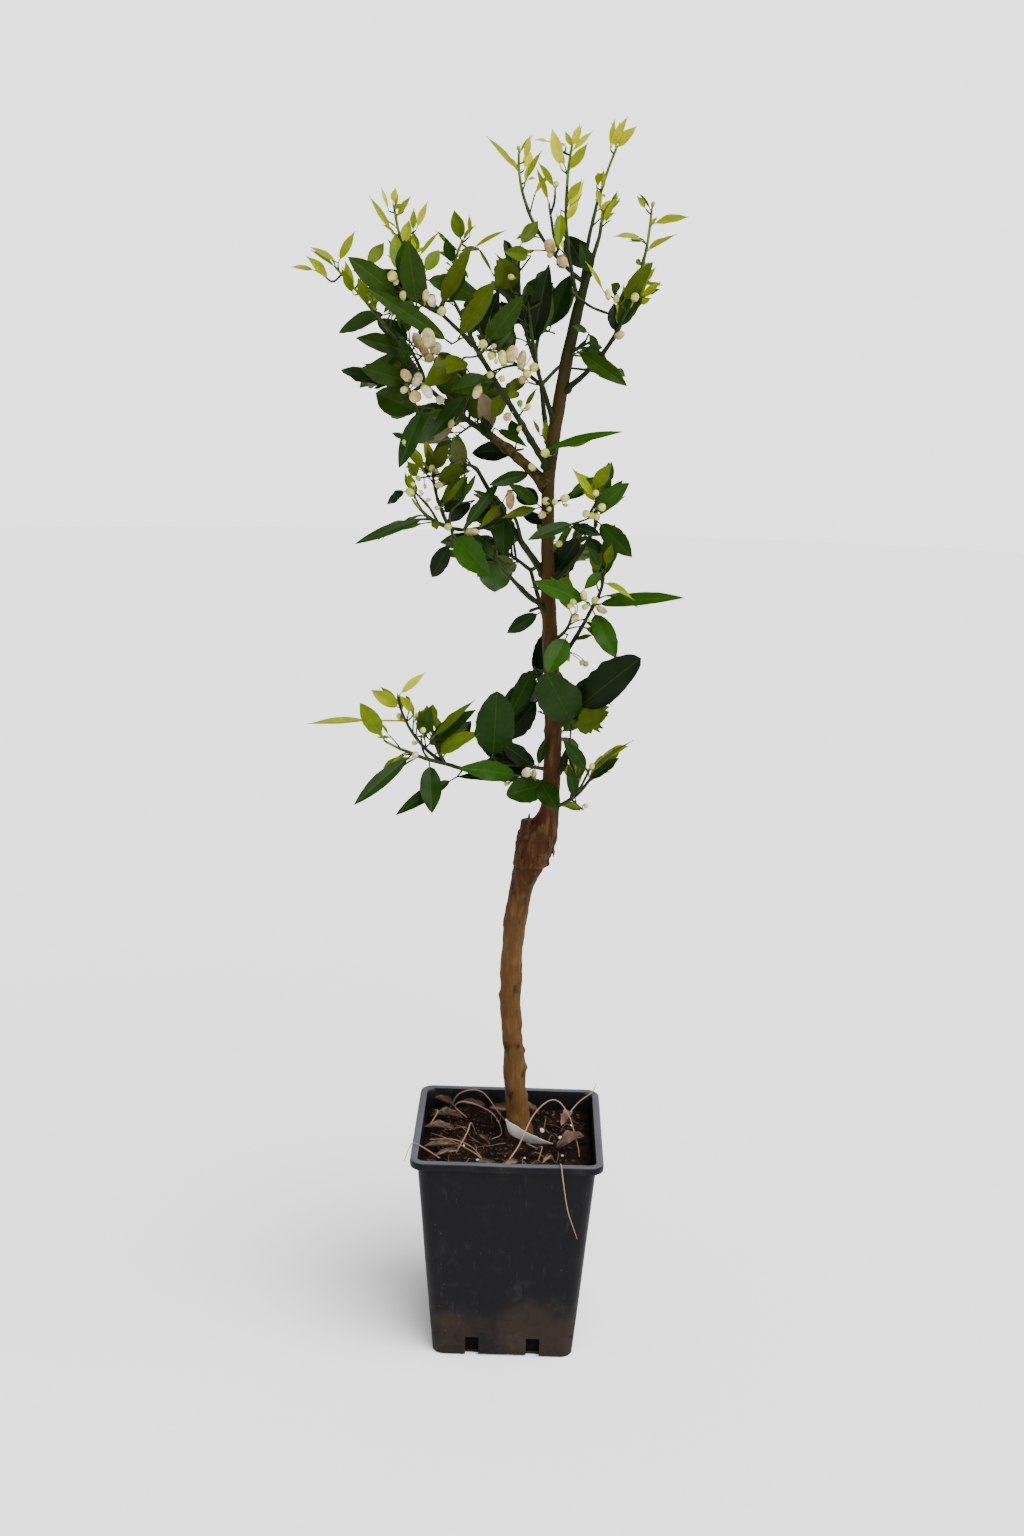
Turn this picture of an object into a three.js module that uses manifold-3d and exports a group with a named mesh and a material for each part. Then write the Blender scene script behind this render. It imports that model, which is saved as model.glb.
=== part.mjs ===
// A potted hernandina clementine tree: a grafted trunk with a slim, one-sided crown
// of glossy leaves, pale young shoots and flower buds, in a square plastic pot.
// Units are millimetres, +Z is up, the front of the pot faces -Y, and the origin is
// the centre of the flat underside of the pot.

import * as THREE from 'three';
import { mergeVertices } from 'three/addons/utils/BufferGeometryUtils.js';
import Module from 'manifold-3d';

const wasm = await Module();
wasm.setup();

// Pot
const POT_HEIGHT = 255;
const POT_BASE = 164;
const POT_MOUTH = 205;
const POT_WALL = 1.8;
const POT_FLOOR = 3;
const POT_CORNER = 14;
const RIM_WIDTH = 220;
const RIM_HEIGHT = 10;
const RIM_CORNER = 17;
const CORNER_STEPS = 4;
const SLOT_WIDTH = 15.5;
const SLOT_HEIGHT = 24;
const SLOT_OFFSET = 35.5;
const SLOT_REACH = 12;
const SKIRT_RAISE = 1.8;

// Soil and the label at the foot of the trunk
const SOIL_LEVEL = 230;
const LABEL_HEIGHT = 21;
const LABEL_THICK = 0.9;
const LABEL_TAIL = 24;

// Clearances
const GAP = 0.3;
const LEAF_ROOM = 0.45;
const SLIVER = 0.02;

// Trunk: height, centre to the right, centre to the back, radius
const TRUNK_SIDES = 12;
const TRUNK = [
  [SOIL_LEVEL + GAP, 14, 28, 17],
  [247, 12, 28, 13.9],
  [290, 7, 26, 13.3],
  [345, 3, 24, 12.3],
  [411, -2, 20, 12.4],
  [473, -1, 15, 12.2],
  [530, 5, 9, 13.2],
  [558, 11, 5, 14.2],
  [576, 17, 2, 18],
  [593, 21, 0, 22.4],
  [608, 23.5, 0, 22.8],
  [621, 28, -1, 18.6],
  [633, 35, -3, 13],
  [646, 38, -5, 10.2],
  [724, 39, -9, 9.8],
  [769, 37, -9, 9.4],
  [825, 33, -8, 8.7],
  [880, 29, -6, 8],
  [946, 26, -4, 7.1],
  [1010, 25, -2, 6.9],
  [1053, 29, 0, 7.2],
  [1096, 35, 2, 7.3],
  [1138, 41, 3, 6.9],
  [1195, 52, 5, 6],
  [1221, 59, 6, 4.4],
  [1246, 66, 6, 2.6],
];

// The stump of the rootstock that stands beside the graft
const STUMP_FOOT = [18, 0, 592];
const STUMP_TIP = [15, 0, 628];
const STUMP_RADII = [17, 8.5];

// Boughs: the limb each grows from, the height (on the trunk) or the share of its
// length where it starts, its tip, the bow of its middle, and its radii
const BOUGH_SIDES = 6;
const BOUGH_STEPS = 5;
const BOUGHS = {
  low_left_bough: {
    from: 'trunk', at: 672, tip: [-84, -40, 702], bow: [0, -4, -3], radii: [3.4, 2],
  },
  right_mid_bough: {
    from: 'trunk', at: 804, tip: [77, -34, 879], bow: [2, 0, -3], radii: [3, 1.8],
  },
  right_high_bough: {
    from: 'trunk', at: 897, tip: [78, -36, 968], bow: [4, 0, -4], radii: [3, 1.8],
  },
  left_mid_bough: {
    from: 'trunk', at: 866, tip: [-15, -30, 909], bow: [0, -3, 0], radii: [2.8, 1.9],
  },
  left_long_bough: {
    from: 'trunk', at: 903, tip: [-54, 20, 1020], bow: [-1, 2, -3], radii: [4, 2.2],
  },
  left_low_bough: {
    from: 'left_long_bough', at: 0.58, tip: [-82, -30, 960], bow: [0, 0, -8], radii: [2.6, 1.8],
  },
  left_main_bough: {
    from: 'trunk', at: 1003, tip: [-39, 12, 1055], bow: [0, 4, 2], radii: [6.6, 4.4],
  },
  left_outer_bough: {
    from: 'left_main_bough', at: 1, tip: [-109, -34, 1110], bow: [0, 0, -2], radii: [3.2, 2],
  },
  left_front_bough: {
    from: 'trunk', at: 1022, tip: [-56, -62, 1151], bow: [-3, -10, 4], radii: [3.8, 2.6],
  },
  left_top_bough: {
    from: 'left_front_bough', at: 1, tip: [-92, -60, 1183], bow: [0, -3, 0], radii: [2.5, 1.8],
  },
  centre_bough: {
    from: 'trunk', at: 1068, tip: [8, -18, 1136], bow: [-1, -5, 0], radii: [3, 2],
  },
  right_upper_bough: {
    from: 'trunk', at: 1103, tip: [90, -20, 1163], bow: [3, -2, -3], radii: [3.2, 2.2],
  },
  back_low_bough: {
    from: 'trunk', at: 846, tip: [8, 72, 905], bow: [0, 6, -5], radii: [3.2, 2],
  },
  back_high_bough: {
    from: 'trunk', at: 1034, tip: [14, 66, 1112], bow: [0, 6, -6], radii: [3.6, 2.2],
  },
};

// Leaves by age: length, width, how far they lean from the twig and how they arch
const AGES = {
  old: { length: 68, width: 28, lean: 58, arch: 0.16, colour: 0x2b4a18, rough: 0.38 },
  mid: { length: 54, width: 20, lean: 50, arch: 0.14, colour: 0x4b6f1e, rough: 0.42 },
  young: { length: 36, width: 9, lean: 38, arch: 0.1, colour: 0x9aa832, rough: 0.48 },
};
const LAST_ROOT = 0.97;
const ROOT_SINK = 0.8;
const SLIM = 0.31;
const LEAF_RINGS = {
  broad: [[0, 0], [0.34, 0.47], [0.7, 0.38], [1, 0]],
  slim: [[0, 0], [0.5, 0.5], [1, 0]],
};
const LEAF_THICK = 0.015;
const LEAF_THICK_LEAST = 0.8;
const FACE_SPREAD = 0.55;
const FACE_OUT = 0.7;

// Twigs and buds
const STEM_STEPS = 3;
const STEM_RADII = [2.5, 1.7];
const TWIG_RADII = [1.9, 1.4];
const TWIG_SHARE = 0.55;
const TURN = 137.5;
const TRIES = 4;
const RETRY_TURN = 47;
const BUD_STALK = 6;
const BUD_LONG = 1.2;
const BUD_SIDES = 4;

// How far the crown reaches: leaves that would pass it are left off
const CROWN = new THREE.Box3(
  new THREE.Vector3(-253, -165, 600),
  new THREE.Vector3(166, 165, 1392),
);

// Masses of leaves. Each has a stem from its limb to a tip, bowed in its middle,
// leaves of one age and twigs dealt out along it by the seeded rule, buds, and the
// room round the stem's middle that it keeps to. show lists the leaves that stand
// out on it: place on the stem, heading, rise, length, width, and how far the blade
// turns from the sky (0) to the front (1). Headings run from the right (0) by the
// back (90) and the left (180) to the front (270).
const MASSES = {
  low_left_tip_leaves: {
    limb: 'low_left_bough', tip: [-146, -62, 730], bow: [0, 0, -3], age: 'young',
    leaves: 0, twigs: 0, buds: 2, budSize: 3.6, room: 130, seed: 3,
    show: [
      [1, 180, 57, 46, 25, 0.9], [0.92, 178, 4, 84, 8, 0.2], [0.4, 195, -38, 84, 18, 0.5, 'old'],
      [0.15, 140, -40, 60, 22, 0.5, 'old'],
    ],
  },
  low_left_rise_leaves: {
    limb: 'low_left_bough', tip: [-134, -10, 762], bow: [-6, 0, -6], age: 'young',
    leaves: 1, twigs: 0, buds: 2, budSize: 3.6, room: 80, seed: 5,
    show: [[1, 0, 36, 36, 10, 0.6], [0.92, 180, 38, 35, 14, 0.8], [0.75, 170, 60, 26, 8, 0.6]],
  },
  low_left_inner_leaves: {
    limb: 'low_left_bough', tip: [-94, -50, 745], bow: [-3, 0, 0], age: 'mid',
    leaves: 1, twigs: 0, buds: 2, budSize: 4.5, room: 95, seed: 8,
    show: [
      [0.85, 20, 82, 32, 20, 1], [0.9, 0, 33, 46, 9, 0.4, 'young'], [0.55, 20, 38, 70, 18, 0.4, 'old'],
      [0.5, 345, 18, 52, 19, 0.6], [0.5, 275, -66, 56, 25, 1, 'old'],
    ],
  },
  low_trunk_leaves: {
    limb: 'trunk', at: 688, tip: [-23, -30, 697], bow: [0, 0, 3], age: 'old',
    leaves: 3, twigs: 0, buds: 2, budSize: 5.5, room: 95, seed: 4,
    show: [
      [1, 10, 84, 78, 44, 1], [0.62, 190, 20, 66, 25, 0.5], [0.9, 222, -16, 54, 18, 0.4],
      [0.4, 165, 34, 46, 20, 0.6], [0.5, 222, -26, 44, 31, 1], [0.36, 300, -50, 42, 24, 0.8],
    ],
  },
  low_right_leaves: {
    limb: 'trunk', at: 643, tip: [91, -24, 706], bow: [6, 0, -8], age: 'mid',
    leaves: 2, twigs: 0, buds: 2, budSize: 4, room: 90, seed: 6,
    show: [
      [0.7, 0, 34, 42, 14, 0.3], [1, 0, 31, 48, 7, 0.3], [0.85, 170, 55, 42, 21, 0.8],
      [0.4, 150, 78, 42, 16, 0.8], [0.3, 350, -20, 30, 12, 0.4],
    ],
  },
  right_low_leaves: {
    limb: 'trunk', at: 753, tip: [66, -40, 763], bow: [0, -4, 0], age: 'old',
    leaves: 2, twigs: 0, buds: 2, budSize: 4, room: 120, seed: 2,
    show: [
      [0.95, 350, 38, 86, 46, 0.8], [0.85, 345, -8, 42, 26, 0.8, 'mid'], [0.5, 225, 76, 60, 46, 1, 'mid'],
    ],
  },
  left_low_leaves: {
    limb: 'trunk', at: 790, tip: [10, 4, 792], bow: [0, 0, 2], age: 'old',
    leaves: 3, twigs: 0, buds: 0, budSize: 4, room: 85, seed: 9,
    show: [[0.9, 185, -52, 46, 24, 0.6], [0.6, 195, -46, 56, 27, 0.6]],
  },
  left_side_leaves: {
    limb: 'trunk', at: 872, tip: [8, -14, 868], bow: [0, 0, 2], age: 'old',
    leaves: 3, twigs: 0, buds: 0, budSize: 4, room: 80, seed: 12,
    show: [[0.9, 185, -32, 40, 17, 0.5], [0.5, 210, -74, 46, 18, 0.6]],
  },
  mid_front_leaves: {
    limb: 'trunk', at: 835, tip: [55, -36, 870], bow: [4, -4, -3], age: 'mid',
    leaves: 0, twigs: 0, buds: 4, budSize: 4.2, room: 70, seed: 7,
    show: [[0.35, 200, -56, 50, 24, 0.8], [0.8, 330, 25, 20, 7, 0.4]],
  },
  right_mid_leaves: {
    limb: 'right_mid_bough', tip: [87, -50, 916], bow: [3, 0, 0], age: 'mid',
    leaves: 3, twigs: 0, buds: 3, budSize: 5, room: 105, seed: 15,
    show: [
      [0.3, 330, -62, 54, 26, 0.8, 'old'], [0.35, 0, 3, 80, 22, 0.2, 'old'],
      [0.4, 192, 12, 58, 24, 0.4, 'old'], [0.85, 350, 24, 45, 7, 0.3, 'young'],
      [1, 60, 60, 30, 12, 0.6],
    ],
  },
  right_high_leaves: {
    limb: 'right_high_bough', tip: [76, -50, 1000], bow: [0, 0, 0], age: 'mid',
    leaves: 3, twigs: 0, buds: 4, budSize: 4.6, room: 90, seed: 11,
    show: [
      [0.35, 350, -46, 52, 25, 0.7, 'old'], [0.5, 10, 38, 43, 18, 0.5, 'old'],
      [0.9, 0, 60, 34, 14, 0.8], [0.75, 180, 57, 41, 8, 0.6, 'young'],
      [0.35, 190, -20, 58, 17, 0.4, 'old'], [0.35, 225, -66, 42, 24, 0.8, 'old'],
    ],
  },
  mid_trunk_leaves: {
    limb: 'trunk', at: 985, tip: [27, -40, 990], bow: [0, 0, 2], age: 'mid',
    leaves: 1, twigs: 0, buds: 4, budSize: 4.6, room: 75, seed: 1,
    show: [[0.35, 185, 32, 46, 16, 0.5], [0.5, 185, -17, 42, 14, 0.4], [0.45, 208, -54, 40, 28, 0.8, 'old']],
  },
  thin_right_leaves: {
    limb: 'trunk', at: 1034, tip: [32, -32, 1043], bow: [0, 0, 2], age: 'mid',
    leaves: 1, twigs: 0, buds: 2, budSize: 4, room: 95, seed: 14,
    show: [[0.7, 350, 18, 78, 13, 0.2, 'old'], [1, 262, 80, 28, 10, 1]],
  },
  left_mid_leaves: {
    limb: 'left_mid_bough', tip: [-31, -50, 934], bow: [0, 0, -3], age: 'old',
    leaves: 4, twigs: 0, buds: 1, budSize: 4, room: 85, seed: 10,
    show: [[0.9, 265, -78, 42, 36, 1], [1, 15, 82, 46, 22, 1]],
  },
  left_low_cluster: {
    limb: 'left_low_bough', tip: [-119, -50, 991], bow: [-3, 0, -4], age: 'young',
    leaves: 2, twigs: 1, buds: 5, budSize: 4, room: 90, seed: 17,
    show: [
      [0.7, 184, -21, 76, 15, 0.3, 'old'], [0.3, 335, -44, 62, 33, 0.8, 'old'],
      [0.3, 215, -50, 40, 26, 0.5, 'old'], [1, 180, -28, 28, 11, 0.4, 'old'],
      [0.9, 150, 78, 22, 10, 0.8],
    ],
  },
  left_low_rise: {
    limb: 'left_low_bough', tip: [-103, 44, 1016], bow: [-4, 0, 0], age: 'mid',
    leaves: 3, twigs: 0, buds: 3, budSize: 4, room: 80, seed: 18,
    show: [[1, 0, 64, 34, 15, 0.7], [0.95, 175, 50, 45, 9, 0.5, 'young'], [0.85, 345, -25, 34, 15, 0.5]],
  },
  left_drape_leaves: {
    limb: 'left_long_bough', tip: [-70, -8, 1022], bow: [0, 0, 4], age: 'mid',
    leaves: 3, twigs: 1, buds: 2, budSize: 4.6, room: 85, seed: 19,
    show: [
      [0.4, 215, -50, 62, 14, 0.4, 'old'], [0.9, 220, -50, 48, 10, 0.4],
      [0.6, 330, -48, 38, 12, 0.5],
    ],
  },
  left_outer_low: {
    limb: 'left_outer_bough', tip: [-130, -60, 1091], bow: [0, 0, 3], age: 'old',
    leaves: 4, twigs: 0, buds: 2, budSize: 5.2, room: 90, seed: 20,
    show: [[0.5, 178, 12, 50, 31, 0.8], [0.7, 190, -68, 68, 19, 0.6], [0.35, 225, -72, 38, 22, 0.8]],
  },
  left_outer_mid: {
    limb: 'left_outer_bough', tip: [-144, -20, 1113], bow: [0, 0, 0], age: 'old',
    leaves: 4, twigs: 0, buds: 4, budSize: 5.8, room: 90, seed: 21,
    show: [[0.5, 182, 18, 56, 27, 0.7], [1, 172, 24, 51, 16, 0.3]],
  },
  left_outer_high: {
    limb: 'left_outer_bough', tip: [-143, 60, 1160], bow: [4, 0, 0], age: 'old',
    leaves: 5, twigs: 0, buds: 4, budSize: 6, room: 100, seed: 22,
    show: [[0.5, 180, 14, 74, 23, 0.4], [0.75, 160, 34, 40, 16, 0.5], [1, 182, -20, 58, 16, 0.3]],
  },
  left_top_leaves: {
    limb: 'left_top_bough', tip: [-129, -90, 1204], bow: [0, 0, -2], age: 'old',
    leaves: 4, twigs: 0, buds: 2, budSize: 6, room: 95, seed: 45,
    show: [[1, 180, 37, 68, 24, 0.6], [0.2, 184, 31, 83, 25, 0.5], [0.7, 200, 80, 72, 27, 1]],
  },
  left_far_shoot: {
    limb: 'left_outer_bough', tip: [-209, 10, 1229], bow: [8, 10, -4], age: 'young',
    leaves: 2, twigs: 0, buds: 0, budSize: 3, room: 130, seed: 24,
    show: [
      [0.9, 180, 45, 36, 10, 0.5], [1, 170, 32, 31, 8, 0.4], [1, 0, 62, 36, 10, 0.5],
      [0.96, 186, 3, 44, 7, 0.3], [0.76, 180, 66, 29, 8, 0.6], [0.84, 10, 42, 32, 12, 0.6],
    ],
  },
  left_rise_shoot: {
    limb: 'left_top_bough', tip: [-148, 40, 1292], bow: [-8, 0, -4], age: 'young',
    leaves: 2, twigs: 0, buds: 1, budSize: 3, room: 115, seed: 25,
    show: [
      [0.78, 180, 57, 47, 9, 0.5], [1, 10, 84, 18, 8, 0.8], [0.95, 0, 62, 22, 6, 0.5],
      [0.74, 0, 80, 26, 10, 0.8], [0.68, 5, 58, 29, 9, 0.6], [0.4, 190, 84, 41, 16, 1],
      [0.5, 0, 42, 30, 13, 0.6],
    ],
  },
  left_inner_rise: {
    limb: 'left_top_bough', tip: [-75, 60, 1261], bow: [0, 0, 6], age: 'young',
    leaves: 2, twigs: 0, buds: 1, budSize: 3, room: 95, seed: 26,
    show: [
      [0.95, 180, 77, 33, 14, 0.9], [0.75, 175, 66, 29, 14, 0.8], [1, 0, 84, 26, 6, 0.6],
      [0.88, 0, 28, 38, 6, 0.3],
    ],
  },
  left_inner_top: {
    limb: 'left_front_bough', tip: [-78, -60, 1196], bow: [0, 0, 0], age: 'mid',
    leaves: 4, twigs: 0, buds: 3, budSize: 6.2, room: 90, seed: 27,
    show: [
      [0.8, 350, 62, 67, 19, 0.7], [1, 20, 8, 46, 20, 0.35], [0.5, 0, 52, 60, 23, 0.7],
      [1, 165, 40, 40, 19, 0.5],
    ],
  },
  left_inner_mid: {
    limb: 'left_front_bough', tip: [-44, -100, 1147], bow: [0, 0, -3], age: 'mid',
    leaves: 4, twigs: 0, buds: 3, budSize: 6, room: 85, seed: 28,
    show: [[0.6, 0, 48, 58, 24, 0.7], [0.9, 188, -14, 46, 24, 0.7], [0.75, 205, -48, 62, 18, 0.4]],
  },
  centre_left_leaves: {
    limb: 'centre_bough', tip: [-2, -60, 1197], bow: [0, 0, -2], age: 'old',
    leaves: 4, twigs: 0, buds: 1, budSize: 5, room: 85, seed: 29,
    show: [[0.5, 350, 72, 70, 23, 0.7], [0.8, 185, 56, 46, 22, 0.7]],
  },
  centre_right_leaves: {
    limb: 'centre_bough', tip: [24, 60, 1186], bow: [-6, 0, 0], age: 'old',
    leaves: 4, twigs: 0, buds: 0, budSize: 5, room: 85, seed: 47,
    show: [[1, 0, 72, 50, 25, 0.7]],
  },
  centre_top_leaves: {
    limb: 'centre_bough', tip: [-12, -26, 1237], bow: [-6, 0, 0], age: 'old',
    leaves: 3, twigs: 0, buds: 2, budSize: 5.6, room: 90, seed: 31,
    show: [
      [0.95, 180, 12, 32, 20, 0.6], [1, 0, 53, 35, 15, 0.6], [0.8, 190, 50, 50, 22, 0.7],
      [0.7, 175, 16, 40, 22, 0.6],
    ],
  },
  top_left_shoot: {
    limb: 'trunk', at: 1217, tip: [-16, 50, 1354], bow: [-20, 0, -6], age: 'young',
    leaves: 1, twigs: 0, buds: 1, budSize: 3, room: 125, seed: 32,
    show: [
      [0.84, 180, 48, 50, 8, 0.5], [0.9, 0, 74, 34, 9, 0.8], [0.8, 0, 60, 37, 8, 0.5],
      [0.88, 20, 60, 18, 8, 0.6],
    ],
  },
  top_centre_shoot: {
    limb: 'trunk', at: 1196, tip: [40, -20, 1356], bow: [-10, 0, 0], age: 'young',
    leaves: 0, twigs: 0, buds: 2, budSize: 3.4, room: 130, seed: 33,
    show: [
      [0.8, 180, 79, 47, 13, 0.9], [0.72, 175, 58, 26, 9, 0.6], [0.6, 180, 71, 35, 8, 0.6],
      [0.95, 0, 47, 29, 7, 0.4], [0.86, 350, 54, 28, 9, 0.6], [0.7, 0, 46, 22, 10, 0.6],
      [0.62, 260, -70, 36, 14, 1], [1, 20, 64, 20, 7, 0.6], [1, 180, 45, 16, 7, 0.6],
    ],
  },
  top_right_shoot: {
    limb: 'trunk', at: 1205, tip: [88, 30, 1359], bow: [-7, 6, 0], age: 'young',
    leaves: 1, twigs: 0, buds: 0, budSize: 3, room: 125, seed: 34,
    show: [
      [0.96, 0, 80, 34, 9, 0.7], [1, 0, 60, 36, 10, 0.6], [0.98, 350, 40, 30, 8, 0.5],
      [0.7, 300, -70, 22, 8, 0.8], [0.76, 160, 50, 26, 6, 0.5],
    ],
  },
  leader_leaves: {
    limb: 'trunk', at: 1245, tip: [74, 10, 1293], bow: [2, 0, 0], age: 'young',
    leaves: 1, twigs: 0, buds: 0, budSize: 3, room: 75, seed: 35,
    show: [
      [0.8, 0, 63, 28, 8, 0.6], [1, 100, 78, 16, 6, 0.6], [0.2, 330, -24, 46, 27, 0.8, 'old'],
      [0.25, 195, 20, 34, 22, 0.6, 'old'],
    ],
  },
  right_cluster_leaves: {
    limb: 'right_upper_bough', tip: [106, -50, 1200], bow: [0, 0, 0], age: 'mid',
    leaves: 4, twigs: 0, buds: 3, budSize: 5, room: 85, seed: 36,
    show: [
      [0.8, 350, 47, 50, 15, 0.7], [0.5, 175, 76, 50, 18, 0.8], [0.95, 0, 30, 27, 8, 0.4],
      [0.75, 180, 56, 42, 6, 0.5],
    ],
  },
  right_far_shoot: {
    limb: 'right_upper_bough', tip: [128, 52, 1299], bow: [8, 6, -4], age: 'young',
    leaves: 1, twigs: 0, buds: 1, budSize: 3, room: 115, seed: 37,
    show: [
      [0.93, 0, 6, 40, 10, 0.3], [0.78, 0, 20, 28, 6, 0.3], [0.8, 180, 22, 32, 7, 0.3],
      [1, 180, 50, 15, 7, 0.6], [0.5, 180, 20, 14, 6, 0.5],
    ],
  },
  right_leaf_mass: {
    limb: 'trunk', at: 1141, tip: [62, -22, 1155], bow: [0, 0, 2], age: 'mid',
    leaves: 2, twigs: 0, buds: 0, budSize: 4, room: 85, seed: 38,
    show: [[0.8, 340, -34, 68, 21, 0.6, 'old'], [0.7, 150, 50, 20, 9, 0.6], [1, 10, 40, 22, 10, 0.6]],
  },
  back_low_left: {
    limb: 'back_low_bough', tip: [-38, 98, 932], bow: [0, 4, 0], age: 'old',
    leaves: 5, twigs: 1, buds: 2, budSize: 4, room: 90, seed: 39, show: [],
  },
  back_low_right: {
    limb: 'back_low_bough', tip: [50, 104, 925], bow: [0, 4, 0], age: 'mid',
    leaves: 5, twigs: 1, buds: 2, budSize: 4, room: 90, seed: 40, show: [],
  },
  back_foot_leaves: {
    limb: 'trunk', at: 716, tip: [52, 46, 742], bow: [0, 2, -3], age: 'old',
    leaves: 6, twigs: 0, buds: 1, budSize: 4, room: 85, seed: 41, show: [],
  },
  back_high_left: {
    limb: 'back_high_bough', tip: [-44, 98, 1152], bow: [0, 4, 0], age: 'old',
    leaves: 6, twigs: 1, buds: 2, budSize: 5, room: 95, seed: 46, show: [],
  },
  back_high_right: {
    limb: 'back_high_bough', tip: [62, 92, 1158], bow: [0, 4, 0], age: 'old',
    leaves: 6, twigs: 1, buds: 2, budSize: 5, room: 95, seed: 48, show: [],
  },
  left_back_leaves: {
    limb: 'left_main_bough', tip: [-92, 66, 1092], bow: [0, 4, -3], age: 'old',
    leaves: 7, twigs: 1, buds: 3, budSize: 5, room: 100, seed: 44, show: [],
  },
};

const UP = new THREE.Vector3(0, 0, 1);
const FRONT = new THREE.Vector3(0, -1, 0);

const vector = (place) => new THREE.Vector3(...place);

// Seeded draws between 0 and 1
function drawsFrom(seed) {
  let state = seed * 7919;
  return () => {
    state = (state * 1664525 + 1013904223) % 4294967296;
    return state / 4294967296;
  };
}

// A direction from a heading and a rise in degrees
function towards(heading, rise) {
  const turn = THREE.MathUtils.degToRad(heading);
  const climb = THREE.MathUtils.degToRad(rise);
  const level = Math.cos(climb);
  return new THREE.Vector3(Math.cos(turn) * level, Math.sin(turn) * level, Math.sin(climb));
}

// A closed solid from a geometry
function toSolid(geometry) {
  const bare = geometry.clone();
  bare.deleteAttribute('normal');
  bare.deleteAttribute('uv');
  const merged = mergeVertices(bare);
  const vertProperties = new Float32Array(merged.attributes.position.array);
  const triVerts = new Uint32Array(merged.index.array);
  return new wasm.Manifold(new wasm.Mesh({ numProp: 3, vertProperties, triVerts }));
}

// A named mesh from a closed solid
function toMesh(name, solid, colour, roughness) {
  const { vertProperties, triVerts } = solid.getMesh();
  const geometry = new THREE.BufferGeometry();
  geometry.setAttribute('position', new THREE.BufferAttribute(new Float32Array(vertProperties), 3));
  geometry.setIndex(new THREE.BufferAttribute(new Uint32Array(triVerts), 1));
  geometry.computeVertexNormals();
  const material = new THREE.MeshStandardMaterial({ color: colour, roughness, metalness: 0 });
  const mesh = new THREE.Mesh(geometry, material);
  mesh.name = name;
  return mesh;
}

// The largest closed piece of a solid, without the scraps that a cut leaves
function largestPiece(solid) {
  const pieces = solid.decompose();
  return pieces.reduce((best, piece) => (piece.volume() > best.volume() ? piece : best));
}

// Each vertex of an upright cylinder or cone is placed anew from its height share
// (0 at the foot) and its place on the unit circle
function reshape(geometry, place) {
  const positions = geometry.attributes.position;
  const point = new THREE.Vector3();
  for (let i = 0; i < positions.count; i += 1) {
    point.fromBufferAttribute(positions, i);
    const share = point.y + 0.5;
    const radius = Math.hypot(point.x, point.z);
    const across = radius > 1e-6 ? point.x / radius : 0;
    const above = radius > 1e-6 ? -point.z / radius : 0;
    const placed = place(share, across, above);
    positions.setXYZ(i, placed.x, placed.y, placed.z);
  }
  return geometry;
}

// A tapering limb with level rings through stations of height, place and radius
function columnSolid(stations, sides, swell = 0) {
  const last = stations.length - 1;
  return toSolid(reshape(new THREE.CylinderGeometry(1, 1, 1, sides, last), (share, across, above) => {
    const [height, right, back, radius] = stations[Math.round(share * last)];
    const size = across === 0 && above === 0 ? 0 : radius + swell;
    const lift = share === 0 ? -swell : share === 1 ? swell : 0;
    return new THREE.Vector3(right + across * size, back + above * size, height + lift);
  }));
}

// A tapering limb along a curve
function limbSolid(curve, radii, sides, steps, swell = 0) {
  const frames = curve.computeFrenetFrames(steps, false);
  return toSolid(reshape(new THREE.CylinderGeometry(1, 1, 1, sides, steps), (share, across, above) => {
    const step = Math.round(share * steps);
    const radius = THREE.MathUtils.lerp(radii[0], radii[1], share) + swell;
    const end = share === 0 ? -swell : share === 1 ? swell : 0;
    return curve.getPointAt(share)
      .addScaledVector(frames.normals[step], across * radius)
      .addScaledVector(frames.binormals[step], above * radius)
      .addScaledVector(frames.tangents[step], end);
  }));
}

// A curve between two places whose middle is bowed off the straight line
function bowed(foot, tip, bow) {
  const bend = foot.clone().add(tip).multiplyScalar(0.5).addScaledVector(vector(bow), 2);
  return new THREE.QuadraticBezierCurve3(foot, bend, tip);
}

// The centre of the trunk at a height
function trunkCentre(height) {
  const above = Math.max(1, TRUNK.findIndex((station) => station[0] >= height));
  const [low, high] = [TRUNK[above - 1], TRUNK[above]];
  const share = (height - low[0]) / (high[0] - low[0]);
  const right = THREE.MathUtils.lerp(low[1], high[1], share);
  const back = THREE.MathUtils.lerp(low[2], high[2], share);
  return new THREE.Vector3(right, back, height);
}

// A spindle pointed at both ends: place gives each ring's vertices from its step
function spindleSolid(sides, steps, place) {
  const geometry = new THREE.SphereGeometry(1, sides, steps);
  const positions = geometry.attributes.position;
  for (let i = 0; i < positions.count; i += 1) {
    const step = Math.floor(i / (sides + 1));
    const angle = 2 * Math.PI * (i % (sides + 1)) / sides;
    const placed = place(step, -Math.sin(angle), -Math.cos(angle));
    positions.setXYZ(i, placed.x, placed.y, placed.z);
  }
  return toSolid(geometry);
}

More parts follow.
